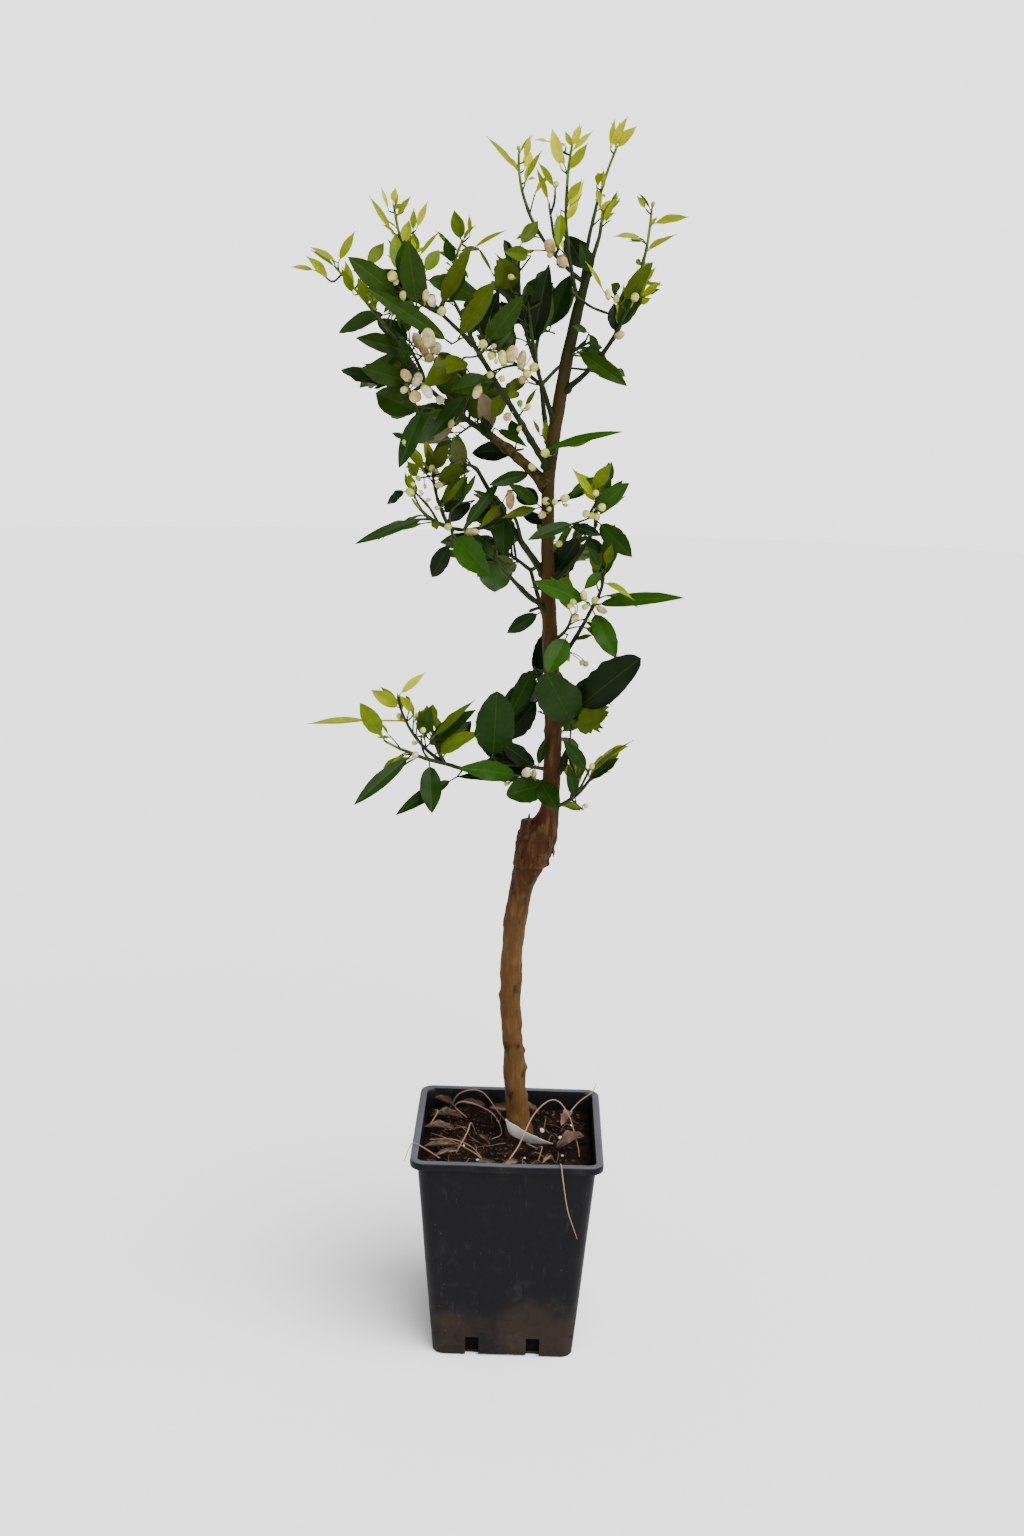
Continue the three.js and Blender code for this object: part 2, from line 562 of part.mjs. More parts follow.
// A blade with two flat edges and a keel below, whose root is sunk in its twig
function leafSolid(leaf, swell = 0) {
  const along = leaf.heading;
  const over = leaf.face.clone().addScaledVector(along, -leaf.face.dot(along)).normalize();
  const side = new THREE.Vector3().crossVectors(over, along);
  const thick = Math.max(LEAF_THICK_LEAST, LEAF_THICK * leaf.length);
  const rings = LEAF_RINGS[leaf.width < SLIM * leaf.length ? 'slim' : 'broad'];
  const last = rings.length - 1;
  return spindleSolid(3, last, (step, across, above) => {
    const [reach, width] = rings[step];
    const pointed = step === 0 || step === last;
    const spread = pointed ? 0 : across * (width * leaf.width + swell) / Math.sin(Math.PI / 3);
    const keel = pointed ? 0 : swell + (above - 0.5) * (thick + 2 * swell) / 1.5;
    const beyond = step === last ? swell : 0;
    return leaf.root.clone()
      .addScaledVector(along, leaf.length * reach + beyond)
      .addScaledVector(over, keel - leaf.length * leaf.age.arch * reach * reach)
      .addScaledVector(side, spread);
  });
}

// A bud on its stalk
function budSolid(bud) {
  const over = new THREE.Vector3().crossVectors(bud.heading, FRONT).normalize();
  const side = new THREE.Vector3().crossVectors(over, bud.heading);
  const half = bud.size * BUD_LONG;
  const rings = [[0, 0], [BUD_STALK + half, bud.size], [BUD_STALK + 2 * half, 0]];
  return spindleSolid(BUD_SIDES, 2, (step, across, above) => {
    const [far, radius] = rings[step];
    return bud.root.clone()
      .addScaledVector(bud.heading, far)
      .addScaledVector(side, across * radius)
      .addScaledVector(over, above * radius);
  });
}

// The direction that leaves a twig at a lean, turned round it
function leaning(tangent, lean, turn) {
  const level = new THREE.Vector3().crossVectors(UP, tangent);
  const aside = level.lengthSq() > 1e-4 ? level.normalize() : new THREE.Vector3(1, 0, 0);
  const over = new THREE.Vector3().crossVectors(tangent, aside);
  const slope = THREE.MathUtils.degToRad(lean);
  const round = THREE.MathUtils.degToRad(turn);
  return tangent.clone().multiplyScalar(Math.cos(slope))
    .addScaledVector(aside, Math.sin(slope) * Math.cos(round))
    .addScaledVector(over, Math.sin(slope) * Math.sin(round));
}

// A root for a leaf or bud, sunk past the middle of the straight run of twig it is on
function rootOn(twig, share, heading) {
  const place = Math.min(share, LAST_ROOT) * STEM_STEPS;
  const step = Math.floor(place);
  return twig.getPointAt(step / STEM_STEPS)
    .lerp(twig.getPointAt((step + 1) / STEM_STEPS), place - step)
    .addScaledVector(heading, -ROOT_SINK);
}

// One leaf by the rule at a share of a twig's length
function leafByRule(twig, share, turn, age, draw) {
  const tangent = twig.getTangentAt(share);
  const lean = age.lean * (1.15 - 0.5 * share) + 16 * (draw() - 0.5);
  const heading = leaning(tangent, lean, turn);
  const root = rootOn(twig, share, heading);
  const size = (0.8 + 0.36 * draw()) * (1.1 - 0.2 * share);
  const stray = new THREE.Vector3(draw() - 0.5, draw() - 0.5, draw() - 0.5);
  const side = root.y < 0 ? FACE_OUT : -FACE_OUT;
  const face = UP.clone().addScaledVector(FRONT, side).addScaledVector(stray, 2 * FACE_SPREAD);
  return { root, heading, face, length: age.length * size, width: age.width * size, age };
}

// A leaf that stands out, from its row in show
function leafFromRow(stem, [share, heading, rise, length, width, turned, ageName], usual) {
  const age = ageName ? AGES[ageName] : usual;
  const face = UP.clone().multiplyScalar(1 - turned).addScaledVector(FRONT, turned);
  const along = towards(heading, rise);
  if (Math.abs(along.dot(face.clone().normalize())) > 0.96) {
    face.copy(FRONT).addScaledVector(UP, 0.3);
  }
  const root = rootOn(stem, share, along);
  return { root, heading: along, face, length, width, age };
}

// Limbs: the trunk with its graft and stump, then each bough cut clear of its limb
const stumpCurve = new THREE.LineCurve3(vector(STUMP_FOOT), vector(STUMP_TIP));
const trunkSolid = (swell) => columnSolid(TRUNK, TRUNK_SIDES, swell)
  .add(limbSolid(stumpCurve, STUMP_RADII, 8, 2, swell));
const limbs = {
  trunk: { solid: trunkSolid(0), swollen: trunkSolid(GAP) },
};
for (const [name, row] of Object.entries(BOUGHS)) {
  const parent = limbs[row.from];
  const foot = row.from === 'trunk' ? trunkCentre(row.at) : parent.curve.getPointAt(row.at);
  const curve = bowed(foot, vector(row.tip), row.bow);
  const whole = limbSolid(curve, row.radii, BOUGH_SIDES, BOUGH_STEPS);
  const swollen = limbSolid(curve, row.radii, BOUGH_SIDES, BOUGH_STEPS, GAP);
  limbs[name] = { curve, swollen, solid: largestPiece(whole.subtract(parent.swollen)) };
}

// Everything that takes up space so far, with its owner
const taken = [];
function claim(owner, solid) {
  const { min, max } = solid.boundingBox();
  taken.push({ owner, solid, box: new THREE.Box3(vector(min), vector(max)) });
}
function isFree(owner, solid, own) {
  const { min, max } = solid.boundingBox();
  const box = new THREE.Box3(vector(min), vector(max));
  return !taken.some((piece) => (piece.owner === owner) === own
    && piece.box.intersectsBox(box)
    && !piece.solid.intersect(solid).isEmpty());
}
for (const [name, limb] of Object.entries(limbs)) {
  claim(name, limb.swollen);
}

// A mass keeps to its own room, to the crown's outline and clear of all the others
function leafFits(mass, leaf) {
  const tip = leaf.root.clone().addScaledVector(leaf.heading, leaf.length);
  if (tip.distanceTo(mass.middle) > mass.row.room || !CROWN.containsPoint(tip)) {
    return false;
  }
  return isFree(mass.name, leafSolid(leaf, LEAF_ROOM), false);
}

function addTo(mass, solid) {
  mass.solid = mass.solid.add(solid);
  claim(mass.name, solid);
}

// The outer part of a blade, which also stays off the leaves of its own mass
function bladeClear(mass, leaf) {
  const shift = 0.22 * leaf.length;
  const outer = { ...leaf, root: leaf.root.clone().addScaledVector(leaf.heading, shift) };
  outer.length = leaf.length - shift;
  return isFree(mass.name, leafSolid(outer, LEAF_ROOM), true);
}

// Stems first, then the leaves that stand out, so that the rest fills in round them
const masses = Object.entries(MASSES).map(([name, row]) => {
  const limb = limbs[row.limb];
  const foot = row.limb === 'trunk' ? trunkCentre(row.at) : limb.curve.getPointAt(0.97);
  const stem = bowed(foot, vector(row.tip), row.bow);
  const whole = limbSolid(stem, STEM_RADII, 3, STEM_STEPS);
  const mass = { name, row, stem, middle: stem.getPointAt(0.5), age: AGES[row.age] };
  mass.solid = whole.subtract(limb.swollen);
  for (const other of taken) {
    if (other.owner !== row.limb) {
      mass.solid = mass.solid.subtract(other.solid);
    }
  }
  mass.solid = largestPiece(mass.solid);
  claim(name, limbSolid(stem, STEM_RADII, 3, STEM_STEPS, GAP));
  return mass;
});
for (const mass of masses) {
  for (const row of mass.row.show) {
    const leaf = leafFromRow(mass.stem, row, mass.age);
    if (leafFits(mass, leaf)) {
      addTo(mass, leafSolid(leaf));
    }
  }
}

// A twig or the stem gets its leaves by turns round it
function dressTwig(mass, twig, count, start, draw) {
  for (let i = 0; i < count; i += 1) {
    const share = start + (1 - start) * ((i + 1) / count);
    const firstTurn = 360 * draw();
    for (let attempt = 0; attempt < TRIES; attempt += 1) {
      const turn = firstTurn + TURN * i + RETRY_TURN * attempt;
      const leaf = leafByRule(twig, share, turn, mass.age, draw);
      if (leafFits(mass, leaf) && bladeClear(mass, leaf)) {
        addTo(mass, leafSolid(leaf));
        break;
      }
    }
  }
}

for (const mass of masses) {
  const draw = drawsFrom(mass.row.seed);
  const { row, stem } = mass;
  for (let i = 0; i < row.buds; i += 1) {
    const share = 0.55 + 0.45 * ((i + 1) / row.buds);
    const heading = leaning(stem.getTangentAt(share), 20 + 45 * draw(), 360 * draw() + TURN * i);
    const size = row.budSize * (0.85 + 0.3 * draw());
    const root = rootOn(stem, share, heading);
    const solid = budSolid({ root, heading, size });
    if (isFree(mass.name, solid, false)) {
      addTo(mass, solid);
    }
  }
  for (let i = 0; i < row.twigs; i += 1) {
    const share = 0.4 + 0.3 * (i / row.twigs);
    const heading = leaning(stem.getTangentAt(share), 50, 360 * draw() + TURN * i);
    const length = Math.min(55, TWIG_SHARE * stem.getLength() + 12);
    const root = stem.getPointAt(share);
    const twig = new THREE.LineCurve3(root, root.clone().addScaledVector(heading, length));
    const solid = limbSolid(twig, TWIG_RADII, 3, 1);
    if (isFree(mass.name, limbSolid(twig, TWIG_RADII, 3, 1, LEAF_ROOM), false)) {
      addTo(mass, solid);
      dressTwig(mass, twig, 4, 0.2, draw);
    }
  }
  dressTwig(mass, stem, row.leaves, 0.25, draw);
}

// Square solids with round corners that widen from their foot to their top
function roundedSquare(width, corner) {
  const half = width / 2;
  const inner = half - corner;
  const shape = new THREE.Shape();
  shape.absarc(inner, inner, corner, 0, Math.PI / 2);
  shape.absarc(-inner, inner, corner, Math.PI / 2, Math.PI);
  shape.absarc(-inner, -inner, corner, Math.PI, 1.5 * Math.PI);
  shape.absarc(inner, -inner, corner, 1.5 * Math.PI, 2 * Math.PI);
  return shape;
}

function squareSolid(bottomWidth, topWidth, corner, bottom, top) {
  const depth = top - bottom;
  const options = { depth, bevelEnabled: false, curveSegments: CORNER_STEPS };
  const geometry = new THREE.ExtrudeGeometry(roundedSquare(topWidth, corner), options);
  const positions = geometry.attributes.position;
  for (let i = 0; i < positions.count; i += 1) {
    const share = positions.getZ(i) / depth;
    const scale = THREE.MathUtils.lerp(bottomWidth / topWidth, 1, share);
    positions.setXYZ(i, positions.getX(i) * scale, positions.getY(i) * scale, positions.getZ(i) + bottom);
  }
  return toSolid(geometry);
}

function boxSolid(size, centre) {
  const box = new THREE.BoxGeometry(...size);
  box.translate(...centre);
  return toSolid(box);
}

const potWidth = (height) => THREE.MathUtils.lerp(POT_BASE, POT_MOUTH, height / POT_HEIGHT);

function potSolid() {
  const over = 5;
  const inside = (height) => potWidth(height) - 2 * POT_WALL;
  const top = POT_HEIGHT + over;
  const shell = squareSolid(POT_BASE, POT_MOUTH, POT_CORNER, 0, POT_HEIGHT);
  const rim = squareSolid(RIM_WIDTH, RIM_WIDTH, RIM_CORNER, POT_HEIGHT - RIM_HEIGHT, POT_HEIGHT);
  const hollow = squareSolid(inside(POT_FLOOR), inside(top), POT_CORNER - POT_WALL, POT_FLOOR, top);
  const slotCut = [SLOT_WIDTH, SLOT_REACH, 2 * SLOT_HEIGHT];
  const skirtCut = [2 * SLOT_OFFSET - SLOT_WIDTH, SLOT_REACH, 2 * SKIRT_RAISE];
  const side = boxSolid(skirtCut, [0, -POT_BASE / 2, 0])
    .add(boxSolid(slotCut, [-SLOT_OFFSET, -POT_BASE / 2, 0]))
    .add(boxSolid(slotCut, [SLOT_OFFSET, -POT_BASE / 2, 0]));
  let pot = shell.add(rim).subtract(hollow);
  for (const turn of [0, 90, 180, 270]) {
    pot = pot.subtract(side.rotate([0, 0, turn]));
  }
  return pot;
}

function soilSolid() {
  const inside = (height) => potWidth(height) - 2 * POT_WALL - 2 * GAP;
  const foot = POT_FLOOR + GAP;
  return squareSolid(inside(foot), inside(SOIL_LEVEL), POT_CORNER - POT_WALL - GAP, foot, SOIL_LEVEL);
}

// A thin strip stood on edge round the front of the trunk, with a loose tail
function labelSolid() {
  const [, right, back, radius] = TRUNK[0];
  const inner = radius + 0.5;
  const outer = inner + LABEL_THICK;
  const start = THREE.MathUtils.degToRad(150);
  const stop = THREE.MathUtils.degToRad(345);
  const shape = new THREE.Shape();
  shape.absarc(0, 0, outer, start, stop, false);
  const corner = new THREE.Vector2(Math.cos(stop), Math.sin(stop));
  const tail = new THREE.Vector2(corner.x * 0.9 - corner.y * 0.4, corner.y * 0.4 + corner.x * 0.1)
    .normalize().multiplyScalar(LABEL_TAIL);
  shape.lineTo(outer * corner.x + tail.x, outer * corner.y + tail.y);
  shape.lineTo(inner * corner.x + tail.x, inner * corner.y + tail.y);
  shape.lineTo(inner * corner.x, inner * corner.y);
  shape.absarc(0, 0, inner, stop, start, true);
  const strip = new THREE.ExtrudeGeometry(shape, {
    depth: LABEL_HEIGHT, bevelEnabled: false, curveSegments: 10,
  });
  strip.translate(right, back, SOIL_LEVEL + GAP);
  return toSolid(strip);
}

// The plant
const tree = new THREE.Group();
tree.add(toMesh('pot', potSolid(), 0x23262b, 0.55));
tree.add(toMesh('soil', soilSolid(), 0x33231a, 0.95));
tree.add(toMesh('foot_label', labelSolid(), 0xe8e6e2, 0.5));
for (const [name, limb] of Object.entries(limbs)) {
  const bark = name === 'trunk' || name === 'left_main_bough';
  tree.add(toMesh(name, limb.solid, bark ? 0x5b4327 : 0x2f3d1a, bark ? 0.8 : 0.6));
}
for (const mass of masses) {
  tree.add(toMesh(mass.name, mass.solid.simplify(SLIVER), mass.age.colour, mass.age.rough));
}

export default tree;
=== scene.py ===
import math
from itertools import combinations

import bpy
import numpy as np
from mathutils import Matrix, Vector, noise
from mathutils.bvhtree import BVHTree


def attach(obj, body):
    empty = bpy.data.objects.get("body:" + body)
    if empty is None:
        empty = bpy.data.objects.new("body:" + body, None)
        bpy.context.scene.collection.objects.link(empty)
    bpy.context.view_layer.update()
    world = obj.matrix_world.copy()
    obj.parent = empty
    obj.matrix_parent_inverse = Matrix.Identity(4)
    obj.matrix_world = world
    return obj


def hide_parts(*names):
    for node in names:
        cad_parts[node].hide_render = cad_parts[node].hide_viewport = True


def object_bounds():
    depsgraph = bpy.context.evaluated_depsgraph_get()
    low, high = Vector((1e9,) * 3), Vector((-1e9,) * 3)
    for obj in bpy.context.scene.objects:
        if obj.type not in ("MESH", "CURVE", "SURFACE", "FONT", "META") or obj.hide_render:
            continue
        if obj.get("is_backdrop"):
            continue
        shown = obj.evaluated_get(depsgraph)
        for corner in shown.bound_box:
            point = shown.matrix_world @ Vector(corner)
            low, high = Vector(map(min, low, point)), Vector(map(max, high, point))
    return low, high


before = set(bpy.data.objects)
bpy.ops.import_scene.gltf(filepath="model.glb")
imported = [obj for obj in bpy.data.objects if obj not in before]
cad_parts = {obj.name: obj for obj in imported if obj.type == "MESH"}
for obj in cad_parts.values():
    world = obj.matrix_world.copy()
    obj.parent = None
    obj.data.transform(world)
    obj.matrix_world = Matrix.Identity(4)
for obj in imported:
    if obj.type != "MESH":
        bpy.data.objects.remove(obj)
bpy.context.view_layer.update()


# Camera
# It stands where the photograph's stood: in front, 1.97 m off and level with the upper
# crown, tipped down on to the pot and rolled by a degree and a half.
LENS = 42.19
CAMERA_PLACE = Vector((0.0149, -1.9705, 1.1631))
CAMERA_AIM = Vector((-0.0105, 0.9721, -0.2343)).normalized()
CAMERA_ROLL = math.radians(-1.448)
level = CAMERA_AIM.cross(Vector((0, 0, 1))).normalized()
upright = level.cross(CAMERA_AIM)
rolled_right = level * math.cos(CAMERA_ROLL) - upright * math.sin(CAMERA_ROLL)
rolled_up = level * math.sin(CAMERA_ROLL) + upright * math.cos(CAMERA_ROLL)
camera_data = bpy.data.cameras.new("camera")
camera_data.lens = LENS
camera = bpy.data.objects.new("camera", camera_data)
camera.matrix_world = Matrix.Translation(CAMERA_PLACE) @ Matrix(
    (rolled_right, rolled_up, -CAMERA_AIM)
).transposed().to_4x4()
bpy.context.scene.collection.objects.link(camera)
bpy.context.scene.camera = camera


# Pot
# A square nursery pot moulded in thin black polypropylene, with a rolled rim, two drain
# slots low in each side, a skirt raised between them and a web behind the slots.
MM = 0.001
POT_HEIGHT = 255
POT_BASE = 164
POT_MOUTH = 205
POT_WALL = 1.8
POT_FLOOR = 3
POT_CORNER = 14
RIM_HALF = 110
RIM_CORNER = 17
SIDE_STEPS = 12
CORNER_STEPS = 8
SLOT_WIDTH = 15.5
SLOT_HEIGHT = 24
SLOT_OFFSET = 35.5
SKIRT_RAISE = 1.8
CUT_DEPTH = 12
WALL_BOW = 0.9
WALL_WAVE = 0.25
RIM_SAG = 0.35
RIM_WAVE = 0.5
WEB_HALF = 74.5
WEB_TOP = 27.5
WEB_LIP = 1.5
WEB_WALL = 1.4
WEB_CORNER = 10
PLASTIC = (0.0045, 0.0045, 0.0052)
# Pale grey of rubbed plastic, used for the scratches and also as painted sheen on the rim's top.
PLASTIC_WEAR_AND_SHEEN = (0.085, 0.088, 0.1)
EARTH_DUST = (0.038, 0.024, 0.014)
GREY_DUST = (0.024, 0.021, 0.019)


class Shape:
    """Points in millimetres and faces of one piece, with the number of each face's finish."""

    def __init__(self):
        self.points = []
        self.faces = []
        self.finishes = []

    def add(self, points, faces, finish=0):
        start = len(self.points)
        self.points.extend(tuple(point) for point in points)
        self.faces.extend(tuple(start + i for i in face) for face in faces)
        self.finishes.extend([finish] * len(faces))


class Tone:
    """A socket of a material's nodes: sums on it add Math nodes."""

    def __init__(self, tree, socket=None):
        self.tree = tree
        self.socket = socket

    def node(self, kind, settings=None, sockets=None, output=0):
        made = self.tree.nodes.new(kind)
        for name, setting in (settings or {}).items():
            setattr(made, name, setting)
        for name, given in (sockets or {}).items():
            if isinstance(given, Tone):
                self.tree.links.new(given.socket, made.inputs[name])
            else:
                made.inputs[name].default_value = given
        return Tone(self.tree, made.outputs[output])

    def math(self, operation, first, second):
        return self.node("ShaderNodeMath", {"operation": operation}, {0: first, 1: second})

    def __add__(self, other):
        return self.math("ADD", self, other)

    def __sub__(self, other):
        return self.math("SUBTRACT", self, other)

    def __rsub__(self, other):
        return self.math("SUBTRACT", other, self)

    def __mul__(self, other):
        return self.math("MULTIPLY", self, other)

    __radd__ = __add__
    __rmul__ = __mul__


def colour_of(given):
    return given if isinstance(given, Tone) else (*given, 1)


def blend(mask, low, high):
    """The colour low where the mask is 0 and high where it is 1."""
    inputs = {0: mask, 6: colour_of(low), 7: colour_of(high)}
    return mask.node("ShaderNodeMix", {"data_type": "RGBA"}, inputs, 2)


def rise(value, low, high):
    """0 below low and 1 above high, smooth between."""
    return value.node(
        "ShaderNodeMapRange", {"interpolation_type": "SMOOTHSTEP"},
        {"Value": value, "From Min": low, "From Max": high},
    )


def grain(place, scale, detail=3, rough=0.55):
    return place.node(
        "ShaderNodeTexNoise", {},
        {"Vector": place, "Scale": scale, "Detail": detail, "Roughness": rough},
    )


def stretched(place, factors):
    return place.node(
        "ShaderNodeVectorMath", {"operation": "MULTIPLY"}, {0: place, 1: factors},
    )


def relief(height, depth, strength=1.0):
    return height.node(
        "ShaderNodeBump", {}, {"Height": height, "Distance": depth, "Strength": strength},
    )


def start_finish(name):
    """A new material, its place on the object and its Principled shader."""
    material = bpy.data.materials.new(name)
    material.use_nodes = True
    tree = material.node_tree
    place = Tone(tree).node("ShaderNodeTexCoord", output="Object")
    return material, place, tree.nodes["Principled BSDF"]


def feed(shader, **sockets):
    for name, given in sockets.items():
        socket = shader.inputs[name.replace("_", " ")]
        if isinstance(given, Tone):
            given.tree.links.new(given.socket, socket)
        else:
            socket.default_value = given


def make_piece(name, shape, materials, replaced=(), crease=38):
    mesh = bpy.data.meshes.new(name)
    mesh.from_pydata((np.array(shape.points) * MM).tolist(), [], shape.faces)
    for material in materials:
        mesh.materials.append(material)
    mesh.polygons.foreach_set("material_index", shape.finishes)
    mesh.shade_smooth()
    mesh.set_sharp_from_angle(angle=math.radians(crease))
    piece = bpy.data.objects.new(name, mesh)
    bpy.context.scene.collection.objects.link(piece)
    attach(piece, "root")
    if replaced:
        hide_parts(*replaced)
    return piece


def square_ring(half, corner, height):
    """Points round a square with round corners, anticlockwise from above."""
    inner = half - corner
    ring = []
    for quarter in range(4):
        turn = Matrix.Rotation(math.radians(90 * quarter), 2)
        for step in range(SIDE_STEPS):
            ring.append((turn @ Vector((half, inner * (2 * step / SIDE_STEPS - 1))), height))
        for step in range(CORNER_STEPS):
            angle = math.radians(90 * step / CORNER_STEPS)
            arc = Vector((inner + corner * math.cos(angle), inner + corner * math.sin(angle)))
            ring.append((turn @ arc, height))
    return [Vector((flat.x, flat.y, up)) for flat, up in ring]


def loft(shape, rings, finish=0, loop=False, capped=True):
    """Skins a row of rings that have as many points each."""
    count = len(rings[0])
    levels = len(rings)
    faces = []
    for low in range(levels if loop else levels - 1):
        high = (low + 1) % levels
        for i in range(count):
            j = (i + 1) % count
            faces.append((low * count + i, low * count + j, high * count + j, high * count + i))
    if capped and not loop:
        faces.append(tuple(reversed(range(count))))
        faces.append(tuple(range((levels - 1) * count, levels * count)))
    shape.add([point for ring in rings for point in ring], faces, finish)


def wall_half(height):
    return (POT_BASE + (POT_MOUTH - POT_BASE) * height / POT_HEIGHT) / 2


def wall_ring(height, inset=0.0):
    """A ring of the wall, bowed a little by the compost behind it."""
    half = wall_half(height) - inset
    bow = WALL_BOW * math.sin(math.pi * height / POT_HEIGHT)
    ring = square_ring(half, POT_CORNER - inset, height)
    for point in ring:
        flat = min(abs(point.x), abs(point.y)) / half
        swell = 1 + (bow * (1 - flat * flat) + WALL_WAVE * noise.noise(point * 0.02)) / half
        point.x *= swell
        point.y *= swell
    return ring


def rim_ring(half, height, corner):
    """A ring of the rim, which sags a little between the corners."""
    ring = square_ring(half, corner, height)
    for point in ring:
        flat = min(abs(point.x), abs(point.y)) / half
        wave = RIM_WAVE * noise.noise(Vector((point.x, point.y, 7)) * 0.014)
        point.z += wave - RIM_SAG * (1 - flat * flat)
    return ring


def box_into(shape, size, centre):
    corners = [
        (centre[0] + x * size[0] / 2, centre[1] + y * size[1] / 2, centre[2] + z * size[2] / 2)
        for z in (-1, 1) for x, y in ((-1, -1), (1, -1), (1, 1), (-1, 1))
    ]
    shape.add(corners, [(3, 2, 1, 0), (4, 5, 6, 7), (0, 1, 5, 4), (1, 2, 6, 5), (2, 3, 7, 6), (3, 0, 4, 7)])


def carve(piece, cutter_shape):
    """Cuts the closed boxes of a shape out of a piece and drops them."""
    mesh = bpy.data.meshes.new("cutter")
    mesh.from_pydata((np.array(cutter_shape.points) * MM).tolist(), [], cutter_shape.faces)
    cutter = bpy.data.objects.new("cutter", mesh)
    bpy.context.scene.collection.objects.link(cutter)
    modifier = piece.modifiers.new("cut", "BOOLEAN")
    modifier.operation = "DIFFERENCE"
    modifier.solver = "EXACT"
    modifier.use_self = True
    modifier.object = cutter
    shown = piece.evaluated_get(bpy.context.evaluated_depsgraph_get())
    carved = bpy.data.meshes.new_from_object(shown)
    piece.modifiers.clear()
    piece.data = carved
    bpy.data.objects.remove(cutter)


pot_shape = Shape()
outer_levels = [1.2, 8, 20, 30, 45, 70, 100, 130, 160, 190, 215, 235, 243.5]
pot_rings = [square_ring(wall_half(0) - 1, POT_CORNER - 1, 0)]
pot_rings += [wall_ring(height) for height in outer_levels]
rim_profile = [
    (103.2, 244.6), (108.6, 245.0), (109.6, 245.8), (109.7, 247.0), (110.0, 247.6), (110.0, 252.0),
    (109.6, 253.8), (108.4, 254.8), (106.6, 255.0), (104.4, 254.6), (102.6, 254.7), (101.5, 254.0),
]
for half, height in rim_profile:
    pot_rings.append(rim_ring(half, height, RIM_CORNER + half - RIM_HALF))
inner_levels = [248, 235, 215, 180, 120, 60, 20, POT_FLOOR]
pot_rings += [wall_ring(height, POT_WALL) for height in inner_levels]
loft(pot_shape, pot_rings)

web_shape = Shape()
web_foot = POT_FLOOR - 0.4
web_under = WEB_TOP - WEB_LIP
web_reach = wall_half(web_under) - 1
web_profile = [
    (WEB_HALF, web_foot), (WEB_HALF, web_under), (web_reach, web_under),
    (web_reach, WEB_TOP), (WEB_HALF - WEB_WALL, WEB_TOP), (WEB_HALF - WEB_WALL, web_foot),
]
loft(web_shape, [square_ring(half, WEB_CORNER, height) for half, height in web_profile], loop=True)

slots = Shape()
for quarter in range(4):
    turn = Matrix.Rotation(math.radians(90 * quarter), 3, "Z")
    cuts = [(SLOT_WIDTH, 2 * SLOT_HEIGHT, side * SLOT_OFFSET) for side in (-1, 1)]
    cuts.append((2 * SLOT_OFFSET - SLOT_WIDTH + 2, 2 * SKIRT_RAISE, 0))
    for width, tall, offset in cuts:
        corner_box = Shape()
        box_into(corner_box, (width, CUT_DEPTH, tall), (offset, -wall_half(0), 0))
        slots.add([turn @ Vector(point) for point in corner_box.points], corner_box.faces)

plastic, place, shader = start_finish("black polypropylene")
height = place.node("ShaderNodeSeparateXYZ", {}, {0: place}, "Z")
facing = place.node("ShaderNodeNewGeometry", output="Normal")
up = facing.node("ShaderNodeSeparateXYZ", {}, {0: facing}, "Z")
# The rim's top, where it faces up, is painted paler grey: partly rubbed wear, partly painted sheen of the
# light from above.
on_rim = rise(height, 0.2505, 0.2535) * rise(up, 0.3, 0.85)
cloudy = grain(place, 14, 5)
fine = grain(place, 260, 2)
low_dust = rise(0.14 * cloudy + 0.016 - height, 0.016, 0.06) * rise(cloudy + 0.3 * fine, 0.42, 0.78)
thin_dust = rise(grain(place, 34, 6, 0.7), 0.52, 0.8)
flecks = place.node("ShaderNodeTexVoronoi", {}, {"Vector": place, "Scale": 85}, "Distance")
fleck_mask = rise(0.115 - flecks, 0, 0.04) * rise(grain(place, 21, 2), 0.54, 0.62)
scratches = rise(grain(stretched(place, (1, 1, 0.09)), 420, 2, 0.4), 0.68, 0.74)
film = blend((0.4 + 0.5 * rise(0.13 - height, 0, 0.07)) * thin_dust, PLASTIC, GREY_DUST)
worn_and_sheened = blend(on_rim * (0.45 + 0.5 * cloudy), film, PLASTIC_WEAR_AND_SHEEN)
scuffed = blend(0.07 * scratches, worn_and_sheened, PLASTIC_WEAR_AND_SHEEN)
earthy = blend(0.42 * low_dust, scuffed, EARTH_DUST)
feed(
    shader,
    Base_Color=blend(0.3 * fleck_mask, earthy, (0.07, 0.05, 0.035)),
    Roughness=0.4 + 0.16 * thin_dust + 0.34 * low_dust + 0.12 * on_rim,
    Normal=relief(0.5 * fine + 1.2 * cloudy + 0.4 * scratches, 0.0006, 0.35),
    Specular_IOR_Level=0.06,
)
pot_piece = make_piece("square_pot", pot_shape, [plastic], ["pot"])
carve(pot_piece, slots)
# The web behind the slots gets its own near-black finish, darker than the pot's plastic: painted shade inside
# the slots.
painted_shade_plastic, place, shader = start_finish("black polypropylene in painted shade")
feed(
    shader,
    Base_Color=blend(grain(place, 40, 4), (0.001, 0.001, 0.001), (0.005, 0.003, 0.002)),
    Roughness=0.6 + 0.2 * grain(place, 90, 2),
    Specular_IOR_Level=0.04,
)
make_piece("drain_web", web_shape, [painted_shade_plastic])


